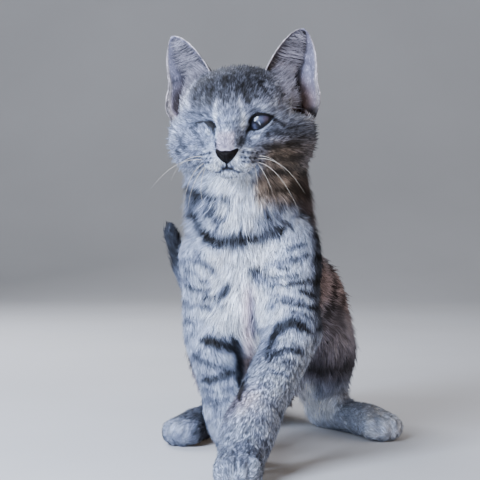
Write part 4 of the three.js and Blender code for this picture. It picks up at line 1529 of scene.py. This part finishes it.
def grow_ear_hair(name, rng, surface):
    """Long pale hairs that sweep from each ear's inner edge over its hollow."""
    parts = []
    for side, _ in SIDES:
        ahead = unit(from_head((side * math.sin(EAR_TURN), -math.cos(EAR_TURN), EAR_TILT)) - SKULL)

        def skin_at(across, height):
            """How far in front of the ear's leaf the skin stands."""
            start = ear_place(side, across, height, EAR_AHEAD)
            ways = []
            for place in start.tolist():
                hit = surface.tree.ray_cast(place, tuple(-ahead))[0]
                ways.append(-EAR_AHEAD - 2 if hit is None else (np.array(hit) - place) @ ahead)
            return EAR_AHEAD + np.array(ways)

        for sort in EAR_HAIRS:
            low, high, rows = sort["low"], sort["high"], sort["rows"]
            count = int(sort["number"] * (0.7 if side > 0 else 1.0))
            height = low + (high - low) * rng.random(count) ** 1.2
            start = rng.uniform(*sort["start"], count)
            # They stand in rows that wave across the ear.
            waved = 0.014 * np.sin(5 * start + 9 * height)
            lock = np.floor((height + waved) * rows)
            height = (lock + 0.5 + rng.normal(0, 0.2, count)) / rows - waved
            # Low in the ear they end further in.
            short = bump(height, 0.22, 0.3) * rng.uniform(0.8, 1.2, count)
            limit = 0.58 - 0.46 * short if side > 0 else 0.85 - 0.7 * short
            end = np.minimum(start + rng.uniform(*sort["run"], count), limit)
            up = np.minimum(height + rng.uniform(*sort["rise"], count), 0.96)
            from_skin = skin_at(start, height)
            over = mix(from_skin, skin_at(end, up), 0.6)
            raised = rng.uniform(*sort["lift"], count) * smooth(0.98, 0.7, height)
            half_way = mix(from_skin, over, 0.4) + 0.2 + raised
            root = ear_place(side, start, height, from_skin - 0.2)
            middle = ear_place(side, mix(start, end, 0.5), mix(height, up, 0.4), half_way)
            tip = ear_place(side, end, up, over + 0.2 + raised)
            level = np.exp(0.35 * np.sin(lock * 5.1) + rng.normal(0, 0.5, count))[:, None]
            # The pale hairs are dimmed on both ears; on the left ear, which lies in shade, the dimming is
            # painted shade.
            pale = linear("A9A6B4") * np.clip(level, 0.25, 2.2) * (0.54 if side > 0 else 0.46)
            colours = np.stack((pale * 0.45,) * 3 + (pale * 0.9,) * 3 + (pale * 1.15,), axis=1)
            places = np.stack((0.5 + side * 0.22 + 0.2 * start, 0.12 + 0.8 * height), axis=1)
            width = rng.uniform(0.8, 1.25, count) * sort["width"]
            parts.append((root, middle, tip, np.tile(ahead, (count, 1)), width, colours, places))
    root, middle, tip, normal, width, colours, places = (np.concatenate(column) for column in zip(*parts))
    return tuft_mesh(name, (root, middle, tip), (normal,) * 3, width, colours, places)


# ---- Eye, nose leather and whiskers ----

def disc_grid(rings, spokes):
    """A round net of points within one, and its faces as triangles."""
    radius = np.arange(1, rings + 1) / rings
    turn = np.arange(spokes) / spokes * 2 * np.pi
    points = [(0.0, 0.0)]
    points += [(r * math.cos(t), r * math.sin(t)) for r in radius for t in turn]
    return np.array(points), round_faces(rings, spokes)


def eye_colours_and_highlights(u, v):
    """The cloudy blue iris, a dark crescent, and painted highlights with a milky patch round them, by
    millimetres along and across the eye.
    """
    spots = np.stack((u, v, np.zeros(len(u))), axis=1)
    grain = 0.55 + 0.9 * noise(spots, 0.8, 52)
    colour = np.tile(linear("080A12"), (len(u), 1))

    def lay(code, share, middle, reach, power=1.3):
        nonlocal colour
        near = np.exp(-(((u - middle[0]) / reach[0]) ** 2 + ((v - middle[1]) / reach[1]) ** 2) ** power)
        colour = mix(colour, linear(code), np.clip(share * near, 0, 1)[:, None])

    lay("565C74", 0.85 * grain, (0.3, 0.9), (2.4, 1.8))
    lay("4E475A", 0.8 * grain, (3.1, 0.0), (1.8, 1.5))
    lay("5E6480", 0.62 * grain, (-4.0, -1.2), (1.0, 1.7), 0.9)
    crescent, _ = along(spots[:, :2], ((-3.4, 3.0), (-2.7, 1.3), (-2.1, -0.6), (-1.0, -2.3)))
    colour = mix(colour, linear("050816"), np.exp(-((crescent / 0.6) ** 4))[:, None])
    # A milky patch round the highlights: partly the cloudy eye's own colour, partly painted reflection.
    lay("8FA0B4", 0.8 * grain, (-1.3, 2.3), (1.0, 0.7))
    # Painted highlights: two bright spots and a thin bright slit.
    lay("E4ECF8", 0.95, (-2.3, 1.75), (0.42, 0.34))
    lay("F4F8FF", 0.95, (-0.5, 2.75), (0.5, 0.28))
    lay("C6D0E6", 0.9, (-0.95, -0.5), (0.2, 0.95))
    lay("141018", 0.9, (2.4, -2.2), (3.0, 0.8))
    return colour


NOSE_MIDDLE = -18.4  # the height of the nose leather's middle in the head's millimetres
NOSE_AHEAD = -55.0  # from where, in front of the face, the skin under it is felt for
# The nose leather's edge from the middle of its top round to the foot: share of the half turn, across, up.
NOSE_EDGE = (
    (0.0, 0.0, -16.5), (0.12, 1.8, -16.2), (0.24, 3.8, -15.4), (0.32, 5.2, -14.8), (0.38, 6.1, -14.9),
    (0.45, 6.1, -16.3), (0.58, 4.9, -18.6), (0.72, 3.2, -20.6), (0.85, 1.6, -22.0), (1.0, 0.0, -22.7),
)


# Root, bend and tip of each whisker in the head's millimetres.
WHISKERS = (
    ((-15.5, -29, -20.3), (-30, -28, -23), (-45, -22, -35)),
    ((-14.0, -30, -22.0), (-22, -32, -32), (-27.5, -27, -51)),
    ((-12.0, -31, -22.5), (-19, -34, -33), (-23.5, -30, -47)),
    ((-13.0, -30, -23.5), (-15.5, -33, -35), (-14, -31, -45)),
    ((-15.0, -30, -18.6), (-25, -30, -21), (-33, -26, -31)),
    ((14.0, -30, -20.6), (27, -28, -24.5), (38, -20, -40)),
    ((13.5, -30, -22.0), (25.5, -29, -30), (35, -22, -50)),
    ((12.5, -30.5, -23.0), (14.5, -33, -30), (14.5, -31, -37)),
    ((14.5, -29.5, -23.0), (19, -31, -30), (22, -28, -39)),
    ((15.0, -29, -19.0), (23, -29, -21.5), (29, -24, -29)),
)


def whisker_tree():
    """Turns drawn lines into hairs that taper to the tip."""
    tree = bpy.data.node_groups.new("tapered hairs", "GeometryNodeTree")
    tree.interface.new_socket("Geometry", in_out="INPUT", socket_type="NodeSocketGeometry")
    thick = tree.interface.new_socket("Root radius", in_out="INPUT", socket_type="NodeSocketFloat")
    cover = tree.interface.new_socket("Material", in_out="INPUT", socket_type="NodeSocketMaterial")
    tree.interface.new_socket("Geometry", in_out="OUTPUT", socket_type="NodeSocketGeometry")
    given = add_node(tree, "NodeGroupInput")
    curve = add_node(tree, "GeometryNodeMeshToCurve", Mesh=given.outputs["Geometry"])
    place = add_node(tree, "GeometryNodeSplineParameter")
    taper = add_node(tree, "ShaderNodeMapRange", i0=place.outputs["Factor"], i1=0.0, i2=1.0, i3=1.0, i4=0.12)
    radius = add_node(
        tree, "ShaderNodeMath", {"operation": "MULTIPLY"},
        i0=taper.outputs[0], i1=given.outputs["Root radius"],
    )
    sized = add_node(tree, "GeometryNodeSetCurveRadius", Curve=curve.outputs[0], Radius=radius.outputs[0])
    ring = add_node(tree, "GeometryNodeCurvePrimitiveCircle", Resolution=6, Radius=1.0)
    tube = add_node(
        tree, "GeometryNodeCurveToMesh", Curve=sized.outputs[0], Profile_Curve=ring.outputs[0],
        Scale=radius.outputs[0], Fill_Caps=True,
    )
    whole = add_node(tree, "GeometryNodeRealizeInstances", Geometry=tube.outputs[0])
    made = add_node(
        tree, "GeometryNodeSetMaterial", Geometry=whole.outputs[0], Material=given.outputs["Material"],
    )
    add_node(tree, "NodeGroupOutput", Geometry=made.outputs[0])
    return tree, thick.identifier, cover.identifier


def drawn_lines(name, lines):
    """A mesh of open lines, each a list of points in the kitten's millimetres."""
    mesh = bpy.data.meshes.new(name)
    points, edges = [], []
    for line in lines:
        start = len(points)
        points += [tuple(p) for p in to_frame(line)]
        edges += [(start + k, start + k + 1) for k in range(len(line) - 1)]
    mesh.from_pydata(points, edges, [])
    made = bpy.data.objects.new(name, mesh)
    bpy.context.collection.objects.link(made)
    return made


def hairs(name, lines, radius, material):
    """Runs the tapered hairs along the lines and leaves a plain mesh."""
    drawn = drawn_lines(name, lines)
    tree, thick, cover = whisker_tree()
    modifier = drawn.modifiers.new("hairs", "NODES")
    modifier.node_group = tree
    modifier[thick] = radius * MM
    modifier[cover] = material
    seen = drawn.evaluated_get(bpy.context.evaluated_depsgraph_get())
    mesh = bpy.data.meshes.new_from_object(seen)
    drawn.modifiers.remove(modifier)
    drawn.data = mesh
    mesh.polygons.foreach_set("use_smooth", np.ones(len(mesh.polygons), bool))
    return drawn


def bend(root, middle, tip, steps=14):
    """Points along a smooth bend from root to tip."""
    t = np.linspace(0, 1, steps)[:, None]
    root, middle, tip = (np.array(p, float) for p in (root, middle, tip))
    control = 2 * middle - (root + tip) / 2
    return (1 - t) ** 2 * root + 2 * t * (1 - t) * control + t ** 2 * tip


# ---- Settings ----

FLOOR = {"half": 4.0, "front": -4, "back": 1.5, "bend": 0.6, "top": 4}  # metres; it bends up at the back
CAMERA = {"place": (0, -900, 170), "down": 3.13, "lens": 127.5}
LAMPS_AIM = (5, 50, 110)
SKY_POWER = 0.36

class CoatSettings(bpy.types.PropertyGroup):
    """How thick the coat is, how fine the skin and how thick the whiskers."""

    fullness: bpy.props.FloatProperty(
        name="Fullness", description="Tufts to the area, against the usual", default=1.0, min=0.1, max=1.3,
    )
    voxel: bpy.props.FloatProperty(
        name="Skin grain", description="Face size of the skin before it is refined",
        default=0.0025, unit="LENGTH", min=0.0015, max=0.004,
    )
    whisker: bpy.props.FloatProperty(
        name="Whisker", description="Thickness of a whisker at its root", default=0.00024, unit="LENGTH",
        min=0.0002, max=0.001,
    )


class LightSettings(bpy.types.PropertyGroup):
    """The studio's lamps."""

    key: bpy.props.FloatProperty(
        name="Key", description="Power of the main lamp", default=21.0, unit="POWER",
    )
    fill: bpy.props.FloatProperty(
        name="Fill", description="Power of the side lamp", default=1.6, unit="POWER",
    )


# ---- Operators ----

built = {}


class KITTEN_OT_skin(bpy.types.Operator):
    """Makes one skin over all the flesh"""

    bl_idname = "kitten.skin"
    bl_label = "Skin"

    def execute(self, context):
        points, labels, triangles = body_form(context.scene.kitten_coat.voxel / MM)
        points, labels, triangles = with_ears(points, labels, triangles)
        points[:, 2] = np.maximum(points[:, 2], LOWEST["skin"])
        skin = mesh_object("skin", to_frame(points), triangles)
        mesh = skin.data
        net = Net(mesh)
        regions = Regions(labels)
        normals = normals_of(mesh)
        lie = coat_lie(points, normals, regions)
        for _ in range(ROUNDS["hair"]):
            lie = flatten(net.mean(lie), normals)
        paint(mesh, "coat", tabby(points, normals, regions) * 0.7)
        mesh.materials.append(skin_material())
        surface = Surface(points, normals, triangles)
        table = coat_table(points, normals, regions)
        owner = triangle_piece(points, labels, triangles)
        built["skin"] = (points, normals, labels, table, lie, triangles, owner, surface)
        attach(skin, "root")
        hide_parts(*FLESH)
        return {"FINISHED"}


class KITTEN_OT_coat(bpy.types.Operator):
    """Grows the coat over the skin in pieces"""

    bl_idname = "kitten.coat"
    bl_label = "Coat"

    def execute(self, context):
        points, normals, labels, table, lie, triangles, owner, surface = built["skin"]
        table = table * (1, 1, 1, context.scene.kitten_coat.fullness)
        skin = (points, normals, labels, table, lie, triangles, owner, surface)
        material = coat_material()
        for index, name in enumerate(PIECES):
            piece = grow_piece(name, np.random.default_rng(100 + index), skin)
            piece.data.materials.append(material)
            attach(piece, "root")
        hair = grow_ear_hair("coat_ear_hair", np.random.default_rng(200), surface)
        hair.data.materials.append(material)
        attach(hair, "root")
        return {"FINISHED"}


class KITTEN_OT_eye(bpy.types.Operator):
    """Makes the open eye"""

    bl_idname = "kitten.eye"
    bl_label = "Eye"

    def execute(self, context):
        rings, turns = 89, 96
        polar = np.linspace(0, np.pi, rings + 2)[1:-1, None]
        turn = np.arange(turns) / turns * 2 * np.pi
        across = np.sin(polar)
        globe = np.stack((across * np.cos(turn), across * np.sin(turn), np.cos(polar) + 0 * turn), axis=2)
        globe = np.concatenate((((0, 0, 1),), globe.reshape(-1, 3), ((0, 0, -1),)))
        bulge = 1 + 0.045 * smooth(0.78, 1.0, globe[:, 2])
        axes = np.stack((EYE_ALONG, EYE_UP, EYE_OUT))
        local = EYE + (globe * (EYE_RADIUS - LID_ROOM) * bulge[:, None]) @ axes
        last = len(globe) - 1
        step = np.arange(turns)
        back = np.stack((0 * step + last, last - turns + (step + 1) % turns, last - turns + step), axis=1)
        faces = np.concatenate((round_faces(rings, turns), back))
        eye = mesh_object("eye", to_frame(from_head(local)), faces)
        paint(eye.data, "coat", eye_colours_and_highlights(globe[:, 0] * EYE_RADIUS, globe[:, 1] * EYE_RADIUS))
        eye.data.materials.append(eye_material())
        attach(eye, "root")
        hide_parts("eye_left")
        return {"FINISHED"}


class KITTEN_OT_nose(bpy.types.Operator):
    """Makes the nose leather"""

    bl_idname = "kitten.nose"
    bl_label = "Nose leather"

    def execute(self, context):
        surface = built["skin"][-1]
        disc, faces = disc_grid(26, 72)
        radius = np.hypot(*disc.T)
        turn = np.arctan2(disc[:, 1], disc[:, 0])
        edge_at = np.abs(np.arctan2(disc[:, 0], disc[:, 1])) / np.pi
        edge_x = np.interp(edge_at, *np.array(NOSE_EDGE)[:, :2].T)
        edge_z = np.interp(edge_at, *np.array(NOSE_EDGE)[:, ::2].T)
        x = np.where(np.abs(turn) > np.pi / 2, -1, 1) * edge_x * radius
        z = mix(NOSE_MIDDLE, edge_z, radius)
        forward = from_head((0, -1, 0)) - SKULL
        start = from_head(np.stack((x, np.full(len(x), NOSE_AHEAD), z), axis=1))
        found = []
        for place in start.tolist():
            hit = surface.tree.ray_cast(place, tuple(-forward))
            found.append(hit[0][1] if hit[0] else 0.0)
        skin_y = to_head(np.stack((start[:, 0], np.array(found), start[:, 2]), axis=1))[:, 1]
        edge = np.sqrt(np.clip(1 - radius ** 2.6, 0, 1))
        y = skin_y - 1.1 * edge + 0.35 * (1 - edge)
        # A slanted nostril on each side, and the groove between them.
        hole = np.exp(-(((np.abs(x) - 3.0 - 0.35 * (z + 18.6)) / 0.9) ** 2 + ((z + 18.9) / 0.75) ** 2))
        y = y + 0.8 * hole + 0.35 * np.exp(-((x / 0.35) ** 2)) * smooth(-17.5, -19, z)
        local = np.stack((x, y, z), axis=1)
        nose = mesh_object("nose_leather", to_frame(from_head(local)), faces[:, ::-1])
        shadow = 1 - 0.75 * hole
        paint(nose.data, "coat", np.tile(linear("0C090B"), (len(local), 1)) * shadow[:, None])
        nose.data.materials.append(nose_material())
        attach(nose, "root")
        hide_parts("nose")
        return {"FINISHED"}


class KITTEN_OT_whiskers(bpy.types.Operator):
    """Draws the whiskers"""

    bl_idname = "kitten.whiskers"
    bl_label = "Whiskers"

    def execute(self, context):
        radius = context.scene.kitten_coat.whisker / MM / 2
        lines = [from_head(bend(*path)) for path in WHISKERS]
        made = hairs("whiskers", lines, radius, whisker_material())
        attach(made, "root")
        return {"FINISHED"}


class KITTEN_OT_stage(bpy.types.Operator):
    """Makes the floor, lamps and camera"""

    bl_idname = "kitten.stage"
    bl_label = "Stage"

    def execute(self, context):
        settings = context.scene.kitten_light
        turn = np.linspace(0, np.pi / 2, 25)
        back, bend = FLOOR["back"], FLOOR["bend"]
        depth = np.concatenate(((FLOOR["front"],), back - bend + bend * np.sin(turn), (back,)))
        height = np.concatenate(((0,), bend - bend * np.cos(turn), (FLOOR["top"],)))
        rail = np.stack((np.full(len(depth), FLOOR["half"]), depth, height), axis=1)
        count = len(rail)
        sheets = [(k, k + count, k + count + 1, k + 1) for k in range(count - 1)]
        floor = mesh_object("floor", np.concatenate((rail * (-1, 1, 1), rail)), sheets)
        material, tree, shader = new_material("pale_floor")
        place = add_node(tree, "ShaderNodeTexCoord")
        cloud = add_node(tree, "ShaderNodeTexNoise", Vector=place.outputs["Object"], Scale=6.0, Detail=4.0)
        level = add_node(tree, "ShaderNodeMapRange", i0=cloud.outputs["Fac"], i1=0.3, i2=0.7, i3=0.56, i4=0.6)
        grey = level.outputs[0]
        tint = add_node(tree, "ShaderNodeCombineColor", Red=grey, Green=grey, Blue=grey)
        tree.links.new(tint.outputs[0], shader.inputs["Base Color"])
        shader.inputs["Roughness"].default_value = 0.8
        floor.data.materials.append(material)
        world = bpy.data.worlds.new("studio")
        world.use_nodes = True
        sky = world.node_tree.nodes["Background"]
        sky.inputs["Color"].default_value = (*linear("C9C4BE"), 1)
        sky.inputs["Strength"].default_value = SKY_POWER
        context.scene.world = world
        self.lamp(context, "key", settings.key, "DCE8FF", (-460, -560, 500), 0.45)
        self.lamp(context, "fill", settings.fill, "FFE2C4", (620, -380, 260), 0.6)
        self.lamp(context, "rim", settings.key * 0.35, "EEF2FF", (-350, 620, 560), 0.5)
        camera = bpy.data.cameras.new("camera")
        camera.lens = CAMERA["lens"]
        camera.sensor_width = 36
        camera.clip_start = 0.01
        stand = bpy.data.objects.new("camera", camera)
        stand.location = to_frame(CAMERA["place"])
        stand.rotation_euler = (math.radians(90 - CAMERA["down"]), 0, 0)
        context.collection.objects.link(stand)
        context.scene.camera = stand
        return {"FINISHED"}

    def lamp(self, context, name, power, colour, place, size):
        light = bpy.data.lights.new(name, "AREA")
        light.energy = power
        light.color = linear(colour)
        light.size = size
        lamp = bpy.data.objects.new(name, light)
        lamp.location = to_frame(place)
        aim = Vector(to_frame(LAMPS_AIM)) - lamp.location
        lamp.rotation_euler = aim.to_track_quat("-Z", "Y").to_euler()
        context.collection.objects.link(lamp)


class KITTEN_PT_panel(bpy.types.Panel):
    """Lists the kitten's steps"""

    bl_idname = "KITTEN_PT_panel"
    bl_label = "Kitten"
    bl_space_type = "VIEW_3D"
    bl_region_type = "UI"
    bl_category = "Kitten"

    def draw(self, context):
        layout = self.layout
        for group in (context.scene.kitten_coat, context.scene.kitten_light):
            for key in group.__annotations__:
                layout.prop(group, key)
        for step in STEPS:
            layout.operator(step.bl_idname)


STEPS = (KITTEN_OT_skin, KITTEN_OT_eye, KITTEN_OT_nose, KITTEN_OT_coat, KITTEN_OT_whiskers, KITTEN_OT_stage)
CLASSES = (CoatSettings, LightSettings, *STEPS, KITTEN_PT_panel)


def register():
    for each in CLASSES:
        bpy.utils.register_class(each)
    bpy.types.Scene.kitten_coat = bpy.props.PointerProperty(type=CoatSettings)
    bpy.types.Scene.kitten_light = bpy.props.PointerProperty(type=LightSettings)


def unregister():
    del bpy.types.Scene.kitten_coat
    del bpy.types.Scene.kitten_light
    for each in reversed(CLASSES):
        bpy.utils.unregister_class(each)


def main():
    register()
    for step in STEPS:
        group, name = step.bl_idname.split(".")
        getattr(getattr(bpy.ops, group), name)()


if __name__ == "__main__":
    main()
